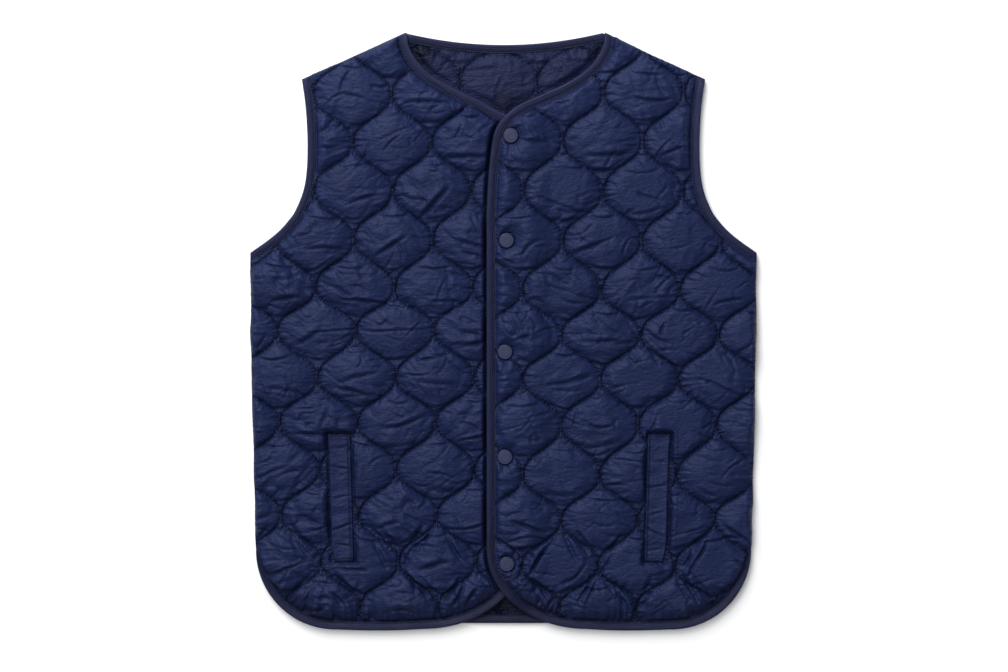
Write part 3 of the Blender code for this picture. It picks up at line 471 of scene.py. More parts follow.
class Panel:
    # one quilted piece: its outline, its floor and what presses on it
    def __init__(self, name, floor, press):
        self.name = name
        self.edges = panelEdges[name]
        self.outline = outlines[name]
        self.quilt = quilts[name]
        self.floor = floor
        self.press = press
        self.tapes = [stations(self.edges, i) for i, edge in enumerate(self.edges) if edge["bound"]]

    def rim(self, x, y):
        # distance to the taped edges and to the side and shoulder seams, and the run along the nearest one
        taped, seam, best = (np.full(len(x), farOff) for _ in range(3))
        run = np.zeros(len(x))
        for number, edge in enumerate(self.edges):
            away, _, _, along = nearest(x, y, edge["points"])
            if edge["bound"]:
                taped = np.minimum(taped, away)
            else:
                seam = np.minimum(seam, away)
            closer = away < best
            best[closer] = away[closer]
            run[closer] = along[closer] + edgeRun * number
        return taped, seam, run

    def surface(self, x, y):
        # the height of the upper face, and the seam map for the finish
        seed = seeds[self.name]
        taped, seam, run = self.rim(x, y)
        folds, tucks = cellFolds(self.quilt, seed, y.min() - 50, y.max() + 50)
        folds = folds + handFolds[self.name]
        height, detail, found = quiltHeight(self.quilt, x, y, seed, folds, tucks)
        reach = tapeReach(x, y)
        past = np.minimum(taped - reach - 0.6, seam + 1.5)
        fade = layers["rimFade"] * (1 + 0.5 * noise(run / 15, run * 0, seed + 15))
        grown = np.sqrt(ease(past, 0, fade * (1 + 0.9 * ease(-y, *layers["hemEase"]))))
        # puckers run in from the taped and seamed edges, longer near the hem
        nearHem = ease(-y, 215, 250)
        length = (7.5 + 5 * noise(run / 9, run * 0, seed + 11)) * (1 + 0.9 * nearHem)
        inward = np.clip(past, 0, None)
        short = ridges(run / 3.1, past / 30, seed + 12) * np.exp(-inward / length)
        wide = ridges(run / 6.2, past / 45, seed + 17) * np.exp(-inward / (1.8 * length))
        puckers = layers["edgePucker"] * (1 + 0.4 * nearHem) * (short + 1.2 * wide) * ease(past, 0.3, 2.6)
        plump, flat, limit = self.press(x, y)
        relief = plump * height * grown + (detail * grown + puckers) * flat
        soft = layers["soft"]
        relief = -np.logaddexp(-relief / soft, -limit / soft) * soft
        self.seamMap(found, x, y, taped, run)
        covered = taped < reach + 0.5
        base = layers["inside"] if self.name == "back" else layers["stitched"]
        top = self.floor(x, y) + np.where(covered, layers["stitched"], base + relief)
        if self.name == "left":
            lapped = outside(x, y, outlines["right"])
            top -= layers["lapDip"] * (1 - ease(lapped, 0, 4))
        return np.maximum(top, self.floor(x, y) + layers["thinnest"]), found

    def seamMap(self, found, x, y, taped, run):
        # distances to the stitching and to lines of painted shade, which the finish darkens, and the painted
        # shade and painted light laid over the cloth
        found["rimAway"] = np.clip(taped - tapeReach(x, y), -5, 40)
        beside = 1.9 + np.abs(found["rimAway"] - tape["lineAt"])
        closer = beside < found["away"] + 1.7
        found["away"][closer] = np.minimum(beside, found["away"])[closer]
        found["along"][closer] = run[closer]
        inward = np.clip(found["rimAway"], 0, None)
        # painted shade: darker along the hem, where the lowest puffs slope away from the light
        found["shaded"] = paintedLightAndShade["hem"] * ease(-y, *layers["hemEase"]) * np.exp(-inward / 14)
        # painted light: the cloth is made paler towards the shoulders and beside the tapes
        paintedLightByTape = paintedLightAndShade["beside"] * np.exp(-inward / 7) * (y > -235)
        found["paintedLight"] = paintedLightAndShade["top"] * ease(y, 170, 270) + paintedLightByTape
        if self.name == "back":
            found["paintedLight"] *= 0
            # painted shade in the back's neck corners, under the point of the fronts' neckline and along the
            # back's hem
            for cx, cy, wide, high, share in paintedLightAndShade["neck"]:
                found["shaded"] += share * np.exp(-(((x - cx) / wide) ** 2) - ((y - cy) / high) ** 2)
            found["shaded"] += paintedLightAndShade["backHem"] * (y < -200)
        lines = []
        # round each welt: a dark seam line where it is sewn, a wider painted shade along its open slit, and
        # its stitching
        if self.name in welts:
            away = outside(x, y, weltShape(welts[self.name]))
            closed = weltClosed(x, welts[self.name])
            lines.append(0.1 + np.where(closed, 1.1, 0.45) * np.abs(away - 0.6))
            lines.append(np.where(closed, 0.45 + np.abs(away - weltCloth["lineAt"]), 9))
        # a ring of painted shadow round each snap cap
        if self.name == "right":
            for cx, cy in snaps:
                lines.append(0.2 + 0.9 * np.abs(np.hypot(x - cx, y - cy) - snapCap["radius"] - 0.5))
        if self.name == "left":
            # painted shade in the gap beside the upper front's edge: a dark line and a wider shade
            lapped = outside(x, y, outlines["right"])
            lines.append(0.2 + 0.55 * np.clip(lapped - 1.0, 0, None))
            found["shaded"] += paintedLightAndShade["lap"] * bell(lapped, 2.6)
        found["away"] = np.minimum.reduce([found["away"], *lines])


seeds = {"right": 1200, "left": 3400, "back": 5600}
# how strong the painted shade and painted light on the cloth and the tapes are; in the back's neck: across,
# up, reach each way and share
paintedLightAndShade = {"hem": 0.45, "top": 0.6, "beside": 0.9, "lap": 0.9, "backHem": 0.85,
          "edgeTape": 0.2, "hemTape": 0.3, "backHemTape": 0.5, "neckTape": 0.22,
          "neck": [(-92, 279, 19, 22, 1.3), (94, 283, 12, 16, 0.7), (2, 229, 17, 13, 0.6)]}
# main creases: across, up, length, turn, depth, width, bend
handFolds = {
    "right": [
        (171, 186.5, 30, -33, 1.5, 1.5, 0), (136, 135, 34, -14, 1.2, 1.4, 0), (101, 160, 24, 2, 1.2, 1.6, 2),
        (143, 209, 26, -58, 1.2, 1.8, 2), (155, 243, 34, -66, 1.3, 2.2, 3), (172, 236, 30, -62, 1.2, 2.0, 2),
        (129, 252, 30, -70, 1.1, 2.0, -2), (141, 118, 32, 8, 1.3, 1.9, 3), (104, 113, 30, -4, 1.1, 1.8, 3),
        (176, 160, 18, 12, 1.2, 1.3, 0), (60, 150, 30, -12, 1.0, 1.6, 2), (64, 118, 34, -8, 1.1, 2.0, 3),
        (196, 8, 40, -10, 1.0, 1.8, 2), (120, -12, 42, 6, 1.1, 1.8, 2), (60, -60, 44, -6, 1.2, 2.0, 3),
        (98, -115, 46, 8, 1.2, 2.0, 3), (60, -165, 40, 4, 1.2, 2.0, 3), (110, -205, 40, -12, 1.2, 1.8, 3),
        (205, -165, 26, -16, 1.1, 1.6, 2), (206, -128, 30, -14, 1.2, 1.5, -2),
        (196, -203, 32, 4, 1.2, 1.9, 2), (118, -262, 30, 52, 1.1, 1.8, 1), (160, -268, 30, -48, 1.1, 1.8, 1),
        (78, -262, 34, 28, 1.1, 1.8, 1),
    ],
    "left": [
        (-113, 1, 84, 1, 1.5, 0.9, 0), (-175, -0.5, 52, 4, 1.4, 0.9, 0), (-155, 36, 56, -24, 1.5, 1.9, 3),
        (-108, 24, 26, -40, 1.2, 1.7, 3), (-147, -48, 48, 14, 1.5, 2.0, 0), (-148, -66, 40, 2, 1.3, 1.4, 0),
        (-68, -28, 32, 12, 1.2, 1.6, 2), (-66, -54, 44, -4, 1.3, 1.9, 2), (-30, -2, 30, -8, 1.2, 2.0, 0),
        (-34, -12, 40, 6, 1.2, 1.4, 0), (-170, 214, 40, 62, 1.2, 2.0, 2), (-186, 196, 28, 40, 1.1, 1.7, 0),
        (-112, 214, 40, 18, 1.2, 2.0, 2), (-80, 198, 40, -32, 1.2, 2.0, 3), (-58, 172, 44, -8, 1.2, 2.0, 3),
        (-110, 128, 46, 22, 1.1, 1.9, 3), (-170, 112, 34, 20, 1.1, 1.8, 2), (-70, 76, 44, -6, 1.2, 1.9, 3),
        (-205, 56, 40, 24, 1.1, 1.8, 2), (-110, -116, 46, 4, 1.2, 2.0, 3), (-66, -160, 44, -6, 1.2, 2.0, 3),
        (-178, -88, 30, 70, 1.2, 1.8, 0), (-112, -212, 44, 8, 1.2, 1.9, 3), (-205, -170, 32, 24, 1.1, 1.8, 2),
        (-72, -262, 34, -34, 1.1, 1.8, 1), (-150, -262, 30, 44, 1.1, 1.8, 1),
        (-205, -245, 32, -30, 1.1, 1.8, 1),
    ],
    "back": [
        (-20, 262, 30, -4, 1.0, 1.5, 2), (18, 246, 34, 6, 1.1, 1.6, 2), (-58, 268, 26, 50, 1.0, 1.7, 0),
        (58, 266, 26, -48, 1.0, 1.7, 0),
    ],
}


def seatLimit(x, y):
    # the cloth dips to each snap cap
    limit = np.full(len(x), layers["free"])
    for number, (cx, cy) in enumerate(snaps):
        turn = np.arctan2(y - cy, x - cx)
        away = np.clip(np.hypot(x - cx, y - cy) - snapCap["seat"], 0, None)
        gathers = 1 + 0.3 * ridges(turn * 2.4, away / 30, 300 + number)
        rise = snapCap["deep"] * gathers * (1 - np.exp(-away / snapCap["fade"]))
        limit = np.minimum(limit, snapCap["sunk"] + rise)
    return limit


def weltShape(welt):
    (tx, ty), (bx, by) = welt["top"], welt["foot"]
    half = welt["width"] / 2
    return np.array([(bx - half, by), (bx + half, by), (tx + half, ty), (tx - half, ty)])


def weltClosed(x, welt):
    return (x - welt["top"][0]) * welt["open"] < welt["width"] / 2 - 3


def weltLimit(x, y, welt):
    # flat beneath the welt, a sharp trench round it and puffs close beyond
    away = outside(x, y, weltShape(welt))
    gathers = 1 + weltCloth["gather"] * ridges((y + 0.4 * x) / 2.7, x / 31, 76)
    rising = weltCloth["slope"] * gathers * np.clip(away - weltCloth["trench"], 0, None) ** 0.5
    line = weltCloth["line"] * bell(away - weltCloth["lineAt"], 0.7)
    return weltCloth["sunk"] + rising - line * weltClosed(x, welt)


def rightFloor(x, y):
    away = outside(x, y, outlines["left"])
    rise = 1 - ease(away, layers["lapClear"], layers["lapClear"] + layers["lapFade"])
    return layers["frontFloor"] + layers["lapRise"] * rise


def rightPress(x, y):
    free = np.ones(len(x))
    return layers["puff"] * free, free, np.minimum(seatLimit(x, y), weltLimit(x, y, welts["right"]))


def leftFloor(x, y):
    return np.full(len(x), layers["frontFloor"])


def leftPress(x, y):
    lapped = outside(x, y, outlines["right"])
    free = ease(lapped, layers["underLap"], layers["underLap"] + layers["lapGrow"]) ** 0.6
    plump = layers["lapPuff"] + (layers["puff"] - layers["lapPuff"]) * free
    return plump, free, weltLimit(x, y, welts["left"])


def backFloor(x, y):
    return np.zeros(len(x))


def backPress(x, y):
    seen = np.minimum(outside(x, y, outlines["right"]), outside(x, y, outlines["left"]))
    showing = ease(seen, 1.5, 8) * (y > 0)
    return layers["backPuff"] * showing, showing * layers["backDetail"], np.full(len(x), layers["free"])


panels = {
    "right": Panel("right", rightFloor, rightPress),
    "left": Panel("left", leftFloor, leftPress),
    "back": Panel("back", backFloor, backPress),
}


def placed(name, data):
    made = bpy.data.objects.new(name, data)
    bpy.context.scene.collection.objects.link(made)
    return made


def solidOf(name, mesh, finish):
    data = bpy.data.meshes.new(name)
    mesh.to_mesh(data)
    mesh.free()
    data.materials.append(finish)
    return placed(name, data)


def newPiece(name, mesh, finish):
    piece = solidOf(name, mesh, finish)
    piece.data.shade_smooth()
    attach(piece, "root")
    return piece


def placesOf(vertices):
    return np.array([v.co for v in vertices]) / mm


# what the finishes read from a panel
attributes = {"seamAndShadeAway": "away", "seamAlong": "along", "rimAway": "rimAway", "pleated": "pleated",
              "shaded": "shaded", "paintedLight": "paintedLight"}


def flatGrid(steps):
    mesh = bmesh.new()
    bmesh.ops.create_grid(mesh, x_segments=steps[0], y_segments=steps[1], size=0.5)
    return mesh


def writeLayer(mesh, name, values):
    layer = mesh.verts.layers.float.new(name)
    for vertex, value in zip(mesh.verts, values):
        vertex[layer] = value


def closeHoles(mesh):
    bmesh.ops.holes_fill(mesh, edges=[e for e in mesh.edges if e.is_boundary], sides=0)
    bmesh.ops.recalc_face_normals(mesh, faces=mesh.faces)


def closeBelow(mesh, underOf):
    # a rim down to the heights below, and a plain underside
    rim = [e for e in mesh.edges if e.is_boundary]
    made = bmesh.ops.extrude_edge_only(mesh, edges=rim)["geom"]
    dropped = [v for v in made if isinstance(v, bmesh.types.BMVert)]
    at = placesOf(dropped)
    for vertex, height in zip(dropped, underOf(at[:, 0], at[:, 1])):
        vertex.co.z = height * mm
    closeHoles(mesh)
    return dropped


def panelPiece(name, panel, cell, finish):
    # a fine grid cut to the outline, raised to the quilted form, with a rim and a plain underside
    low, high = panel.outline.min(0), panel.outline.max(0)
    size = high - low
    mesh = flatGrid([max(2, round(size[k] / cell[k])) for k in (0, 1)])
    middle = Matrix.Translation(Vector(((low[0] + high[0]) / 2, (low[1] + high[1]) / 2, 0)) * mm)
    scaled = Matrix.Diagonal((size[0] * mm, size[1] * mm, 1, 1))
    bmesh.ops.transform(mesh, matrix=middle @ scaled, verts=mesh.verts)
    inset = panelInset(panel)
    at = placesOf(mesh.verts)
    gone = ~inside(at[:, 0], at[:, 1], inset)
    bmesh.ops.delete(mesh, geom=[v for v, out in zip(list(mesh.verts), gone) if out], context="VERTS")
    bmesh.ops.delete(mesh, geom=[v for v in mesh.verts if not v.link_faces], context="VERTS")
    border = [v for v in mesh.verts if v.is_boundary]
    at = placesOf(border)
    _, snapX, snapY, _ = nearest(at[:, 0], at[:, 1], np.vstack([inset, inset[:1]]))
    for vertex, x, y in zip(border, snapX, snapY):
        vertex.co.x, vertex.co.y = x * mm, y * mm
    at = placesOf(mesh.verts)
    top, found = panel.surface(at[:, 0], at[:, 1])
    for vertex, height in zip(mesh.verts, top):
        vertex.co.z = height * mm
    for layer, key in attributes.items():
        writeLayer(mesh, layer, found[key])
    away = mesh.verts.layers.float["seamAndShadeAway"]
    for vertex in closeBelow(mesh, panel.floor):
        vertex[away] = farFromSeams
    for face in mesh.faces:
        face.material_index = 1 if face.normal.z < -0.5 else 0
    piece = newPiece(name, mesh, finish)
    piece.data.materials.append(shellFinish)
    return piece


def panelInset(panel):
    # the panel's own edge, which lies behind the tape's fold where it is bound
    line = []
    index = 0
    for edge in panel.edges:
        if edge["bound"]:
            tapeLine = panel.tapes[index]
            depth = ((tape["wall"] + 0.3) * (1 - 0.8 * towardsSide(*tapeLine["place"].T)))[:, None]
            shear = tapeLine["shear"][:, None] * depth
            line.append(tapeLine["place"] + tapeLine["inward"] * depth + tapeLine["travel"] * shear)
            index += 1
        else:
            points = edge["points"]
            out = np.column_stack([np.gradient(points[:, 1]), -np.gradient(points[:, 0])])
            out /= np.linalg.norm(out, axis=1)[:, None]
            swell = 0.7 * noise(points[:, 1] / 21, points[:, 0] / 50, seeds[panel.name] + 16) - 0.1
            ends = np.clip(np.minimum(np.arange(len(points)), np.arange(len(points))[::-1]) / 12, 0, 1)
            line.append((points + out * (swell * ends)[:, None])[1:-1])
    return np.vstack(line)


def towardsSide(x, y):
    # 1 where a hem tape reaches the side seam, 0 well below it and elsewhere
    return ease(y, -272, -218.5) * (y < -100) * ease(np.abs(x), 190, 225)


def tapeReach(x, y):
    return tape["width"] * (1 - tape["taper"] * towardsSide(x, y))


def tapeSection():
    # the folded tape's section, from its lower lip round the fold to its upper lip and back inside
    width, wall, high = tape["width"], tape["wall"], layers["bound"]
    outer = [(width, 0.0), (width * 0.5, 0.0)]
    for turn in np.radians(np.linspace(-90, -270, 11)):
        outer.append((0.9 + 0.9 * math.cos(turn), (high + 0.5) / 2 * (1 + math.sin(turn))))
    stitch = tape["stitchIn"]
    outer += [(1.6, high + 0.62), (2.6, high + 0.6), (4.0, high + 0.3), (5.4, high - 0.05),
              (stitch - 0.7, high - 0.3), (stitch - 0.15, high - 0.95), (stitch + 0.35, high - 0.6),
              (width - 0.3, high - 0.55), (width, high - 0.8)]
    inner = [(width, high - 1.2), (wall, high - wall - 0.1), (wall, wall), (width, wall)]
    return outer + inner


def tapeShade(panel, x, y):
    # painted shade: darker down the front edge, along the hems and behind the neck
    back = panel.name == "back"
    shade = paintedLightAndShade["edgeTape"] * (np.abs(x) < 40) * (y < 215)
    shade = shade + paintedLightAndShade["backHemTape" if back else "hemTape"] * (y < -200)
    return shade + paintedLightAndShade["neckTape"] * back * (y > 240) * (np.abs(x) < 88)


def tapePiece(name, panel, index, seed):
    # the section is extruded along the edge ring by ring, and then set in its places
    edge = panel.tapes[index]
    section = tapeSection()
    full = np.array([p[0] for p in section])
    lift = np.array([p[1] for p in section])
    count = len(section)
    run = runAlong(edge["place"])
    mesh = bmesh.new()
    along = mesh.verts.layers.float.new("seamAlong")
    across = mesh.verts.layers.float.new("tapeAcross")
    shaded = mesh.verts.layers.float.new("shaded")
    rings = [[mesh.verts.new((0, 0, 0)) for _ in section]]
    loop = [mesh.edges.new((rings[0][k], rings[0][(k + 1) % count])) for k in range(count)]
    mesh.faces.new(rings[0])
    for _ in run[1:]:
        made = bmesh.ops.extrude_edge_only(mesh, edges=loop)["geom"]
        fresh = {g for g in made if isinstance(g, bmesh.types.BMVert)}
        rings.append([next(e.other_vert(v) for e in v.link_edges if e.other_vert(v) in fresh)
                      for v in rings[-1]])
        loop = [g for g in made if isinstance(g, bmesh.types.BMEdge) and set(g.verts) <= fresh]
    mesh.faces.new(rings[-1][::-1])
    shade = tapeShade(panel, *edge["place"].T)
    toEnd = np.minimum(run, run[-1] - run)
    settled = 1 - tape["settled"] * (1 - ease(toEnd, 0, tape["settledOver"]))
    for i, vertices in enumerate(rings):
        depth = full * (1 - tape["taper"] * towardsSide(*edge["place"][i]))
        pull = edge["shear"][i] * depth
        place, inward, travel = edge["place"][i], edge["inward"][i], edge["travel"][i]
        x, y = (place[k] + inward[k] * depth + travel[k] * pull for k in (0, 1))
        ripple = noise(np.full(count, run[i] / 3.3), depth / 9, seed) * tape["pucker"]
        sway = noise(np.full(count, run[i] / 24), depth * 0, seed + 1) * tape["sway"]
        upper = np.clip((lift - layers["bound"] * 0.6) / 1.2, 0, 1)
        inLip = np.clip(1 - np.abs(depth - tape["stitchIn"]) / 4.5, 0, 1)
        z = panel.floor(x, y) + lift * settled[i] + upper * (ripple * inLip * 2.2 + sway)
        for k, vertex in enumerate(vertices):
            vertex.co = (x[k] * mm, y[k] * mm, z[k] * mm)
            vertex[along] = run[i]
            vertex[across] = full[k] if lift[k] > layers["bound"] / 2 else -5
            vertex[shaded] = shade[i]
    bmesh.ops.recalc_face_normals(mesh, faces=mesh.faces)
    return newPiece(name, mesh, bindingFinish)


# wrinkles of the welts: across, up, length, turn, depth, width, bend
weltFolds = {
    "right": [(154.5, -155.5, 24, 8, 0.9, 1.0, 0), (153, -182.5, 16, 14, 0.9, 1.0, 0),
              (150.5, -201.5, 24, -25, 1.3, 1.1, 0), (155, -131, 20, -4, 0.6, 1.3, 1),
              (151, -219, 18, 9, 0.7, 1.0, 0)],
    "left": [(-163, -137, 22, -9, 0.9, 1.0, 0), (-162, -166, 20, 12, 0.9, 1.1, 0),
             (-161, -196, 24, 20, 1.1, 1.1, 0), (-164, -117, 18, 5, 0.6, 1.2, 1),
             (-160.5, -214, 18, -12, 0.7, 1.0, 0)],
}


def weltPiece(name, panel, welt):
    # a folded strip on the front's own surface, turned in all round and open along one long side
    (tx, ty), (bx, by) = welt["top"], welt["foot"]
    grid, width, half = weltCloth["grid"], welt["width"], welt["width"] / 2
    mesh = flatGrid((round(width / grid), round((ty - by) / grid)))
    at = np.array([v.co for v in mesh.verts])
    sx, sy = at[:, 0], at[:, 1] + 0.5
    y = by + (ty - by) * sy
    slit = weltCloth["slit"][0] * ease(1 - sy, 0, 0.15) + weltCloth["slit"][1] * ease(1 - sy, 0.86, 1)
    sx = np.where(sx * welt["open"] > 0, sx * (1 - 2 * slit / width), sx)
    x = bx + (tx - bx) * sy + sx * width
    under, _ = panel.surface(x, y)
    side = sx * width * welt["open"]  # positive towards the open side
    toEnd = np.minimum(sy, 1 - sy) * (ty - by)
    toFold = side + half
    edgeIn = np.minimum(half - np.abs(side) - np.where(side > 0, slit, 0), toEnd)
    roundOff = np.clip(1 - edgeIn / 1.4, 0, 1) ** 2 * 1.3
    fold = 0.55 * bell(toFold - weltCloth["fold"], 0.8)
    toSide, toFoot = toFold - weltCloth["sideStitch"], toEnd - weltCloth["endStitch"]
    stitch = 0.85 * bell(toSide, 0.6) + 0.7 * bell(toFoot, 0.6)
    lipLift = 0.9 * np.clip(side / half, 0, 1) ** 2
    rough = 0.75 * noise(x / 15, y / 8, 71) + 0.55 * ridges(x / 30, y / 9, 72)
    rough = rough + 0.16 * noise(x / 3, y / 3, 73)
    rough = rough + sum(crease(x, y, wrinkle) for wrinkle in weltFolds[name])
    level = panel.floor(x, y) + layers["stitched"] + weltCloth["stand"]
    top = np.maximum(level + lipLift + fold + rough - roundOff - stitch, under + 0.6)
    for vertex, *place in zip(mesh.verts, x, y, top):
        vertex.co = Vector(place) * mm
    writeLayer(mesh, "seamAndShadeAway", np.minimum(np.abs(toSide), np.abs(toFoot)))
    writeLayer(mesh, "seamAlong", sy * (ty - by))
    closeBelow(mesh, lambda a, b: panel.surface(a, b)[0] + 0.15)
    return newPiece(f"{name}Welt", mesh, weltFinish)


def snapPiece(number, x, y):
    # a low moulded disc: flat top, a fine ring near its edge and a rounded rim
    radius, height = snapCap["radius"], snapCap["height"]
    profile = [(0, height - 0.25), (radius * 0.45, height - 0.22), (radius * 0.70, height - 0.14),
               (radius * 0.76, height - 0.30), (radius * 0.82, height - 0.10), (radius * 0.90, height - 0.18),
               (radius * 0.97, height - 0.62), (radius, height - 1.2), (radius * 0.985, 0.5),
               (radius * 0.94, 0)]
    base = layers["frontFloor"] + layers["lapRise"] + layers["stitched"] + 0.3
    mesh = bmesh.new()
    line = [mesh.verts.new((x * mm + r * mm, y * mm, (base + z) * mm)) for r, z in profile]
    edges = [mesh.edges.new(pair) for pair in zip(line, line[1:])]
    bmesh.ops.spin(mesh, geom=line + edges, cent=(x * mm, y * mm, 0), axis=(0, 0, 1), angle=math.tau,
                   steps=snapCap["segments"], use_merge=True, use_duplicate=False)
    bmesh.ops.remove_doubles(mesh, verts=mesh.verts, dist=1e-6)
    closeHoles(mesh)
    piece = newPiece(f"snapCap{number}", mesh, snapFinish)
    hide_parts(f"snap_cap_{number}")
    return piece


# Finishes

class Socket:
    # wraps a node socket, so that shader maths reads as Python
    def __init__(self, finish, link):
        self.finish = finish
        self.link = link

    def math(self, kind, other=0.0, swap=False):
        pair = [self, other][::-1] if swap else [self, other]
        return self.finish.node("ShaderNodeMath", {"operation": kind}, {0: pair[0], 1: pair[1]})

    def __add__(self, other):
        return self.math("ADD", other)

    __radd__ = __add__

    def __mul__(self, other):
        return self.math("MULTIPLY", other)

    __rmul__ = __mul__

    def __sub__(self, other):
        return self.math("SUBTRACT", other)

    def __rsub__(self, other):
        return self.math("SUBTRACT", other, swap=True)

    def ramp(self, low, high, atLow, atHigh):
        spans = {"Value": self, "From Min": low, "From Max": high, "To Min": atLow, "To Max": atHigh}
        return self.finish.node("ShaderNodeMapRange", {"clamp": True}, spans)


class Finish:
    def __init__(self, name, constants):
        self.material = bpy.data.materials.new(name)
        self.material.use_nodes = True
        self.tree = self.material.node_tree
        self.shader = self.tree.nodes["Principled BSDF"]
        for socket, value in constants.items():
            self.shader.inputs[socket].default_value = value

    def node(self, kind, settings=None, inputs=None, output=0):
        made = self.tree.nodes.new(kind)
        for key, value in (settings or {}).items():
            setattr(made, key, value)
        for key, value in (inputs or {}).items():
            if isinstance(value, Socket):
                self.tree.links.new(value.link, made.inputs[key])
            else:
                made.inputs[key].default_value = value
        return Socket(self, made.outputs[output])

    def attribute(self, name):
        return self.node("ShaderNodeAttribute", {"attribute_name": name}, output="Fac")

    def place(self):
        return self.node("ShaderNodeTexCoord", output="Object")

    def noise(self, vector, scale, detail=2.0, rough=0.5):
        return self.node("ShaderNodeTexNoise", None,
                         {"Vector": vector, "Scale": scale, "Detail": detail, "Roughness": rough}, "Fac")

    def stretched(self, vector, scale):
        return self.node("ShaderNodeMapping", None, {"Vector": vector, "Scale": scale})

    def feed(self, socket, value):
        self.tree.links.new(value.link, self.shader.inputs[socket])

    def bump(self, height, strength, distance, normal=None):
        inputs = {"Height": height, "Strength": strength, "Distance": distance}
        if normal is not None:
            inputs["Normal"] = normal
        return self.node("ShaderNodeBump", None, inputs)


def blendColour(finish, factor, first, second):
    return finish.node("ShaderNodeMix", {"data_type": "RGBA"}, {0: factor, 6: first, 7: second}, 2)


# deep darkens the stitch lines and the lines of painted shade; gloom is the colour of painted shade
nylon = {
    "deep": (0.0030, 0.0050, 0.020, 1), "gloom": (0.0012, 0.0020, 0.0085, 1),
    "body": (0.0066, 0.0111, 0.0440, 1), "light": (0.0104, 0.0166, 0.0592, 1), "creased": 0.65,
    "rough": (0.36, 0.52), "stitchPitch": 3.3, "gathersPerMm": 1.6,
    "scale": {"cloudy": 38, "creased": 210, "veins": 75, "weave": 2100, "drift": 130, "pleats": 340},
    "creaseDepth": 0.0016,
    # strength and depth of each relief, with depths in metres
    "relief": {"veins": (0.8, 0.0011), "weave": (0.10, 0.00012), "bead": (0.25, 0.0004),
               "gathers": (0.7, 0.0008), "pleats": (0.9, 0.0016)},
}
lining = {"body": (0.0072, 0.0103, 0.0365, 1), "light": (0.0112, 0.0155, 0.0495, 1), "creased": 1.0}


def makeNylon(name, tones, stitched=True):
    finish = Finish(name, {"Specular IOR Level": 0.13, "Specular Tint": (0.72, 0.78, 1, 1)})
    place = finish.place()
    scale, bumps = nylon["scale"], nylon["relief"]
    away, along = finish.attribute("seamAndShadeAway"), finish.attribute("seamAlong")
    cloudy = finish.noise(place, scale["cloudy"], 3.0, 0.55)
    creased = finish.noise(finish.stretched(place, (1.0, 1.9, 1.0)), scale["creased"], 3.0, 0.62)
    veins = finish.node("ShaderNodeTexNoise", {"noise_type": "RIDGED_MULTIFRACTAL"},
                        {"Vector": finish.stretched(place, (1.0, 2.0, 1.0)), "Scale": scale["veins"],
                         "Detail": 3.0, "Roughness": 0.5, "Distortion": 0.5}, "Fac")
    weave = finish.noise(finish.stretched(place, (1.0, 0.35, 1.0)), scale["weave"], 1.0, 0.5)
    inSeamAndShade = away.ramp(0.3, 1.8, 1.0, 0.0)
    # the cloth's tone varies at random, and the painted light pushes it towards the light tone
    body = blendColour(finish, cloudy + finish.attribute("paintedLight"), tones["body"], tones["light"])
    # painted shade, mixed in towards the gloom colour
    body = blendColour(finish, finish.attribute("shaded"), body, nylon["gloom"])
    relief = finish.bump(creased, tones["creased"], nylon["creaseDepth"])
    relief = finish.bump(1.0 - veins, *bumps["veins"], relief)
    relief = finish.bump(weave, *bumps["weave"], relief)
    if stitched:
        # stitches along the seams and beside the tapes, and gathers and pleats that run into them
        fromLine = (finish.attribute("rimAway") - tape["lineAt"]).math("ABSOLUTE")
        inSeamAndShade = inSeamAndShade.math("MAXIMUM", fromLine.ramp(0.25, 0.85, 1.0, 0.0))
        bead = (along * (math.tau / nylon["stitchPitch"])).math("SINE")
        seamAndShadeColour = inSeamAndShade * (0.78 + bead * 0.22)
        relief = finish.bump(bead * inSeamAndShade, *bumps["bead"], relief)
        besideSeam = away.ramp(0.8, 6.0, 1.0, 0.0)
        drift = finish.noise(place, scale["drift"], 1.0, 0.5)
        gathers = (along * nylon["gathersPerMm"] + drift * 22.0).math("SINE")
        relief = finish.bump(gathers * besideSeam * besideSeam * cloudy, *bumps["gathers"], relief)
        folds = finish.noise(finish.stretched(place, (0.14, 1.0, 1.0)), scale["pleats"], 1.0, 0.5)
        relief = finish.bump(folds * finish.attribute("pleated"), *bumps["pleats"], relief)
    else:
        seamAndShadeColour = inSeamAndShade * 0.75
    # stitch lines and lines of painted shade take the deep colour
    finish.feed("Base Color", blendColour(finish, seamAndShadeColour, body, nylon["deep"]))
    finish.feed("Roughness", creased.ramp(0.3, 0.7, *nylon["rough"]))
    finish.feed("Normal", relief)
    return finish.material


# inner and outer: the tape's colour from its inner side, darkened as painted shade, to its outer fold
binding = {"inner": (0.0052, 0.0070, 0.0285, 1), "outer": (0.0104, 0.0134, 0.0480, 1),
           "thread": (0.003, 0.0045, 0.017, 1), "rough": (0.45, 0.62), "stitchPitch": 2.8,
           "scale": {"cloudy": 60, "weave": 2600},
           "relief": {"weave": (0.25, 0.00015), "rib": (0.6, 0.0012), "bead": (0.4, 0.0004)}}


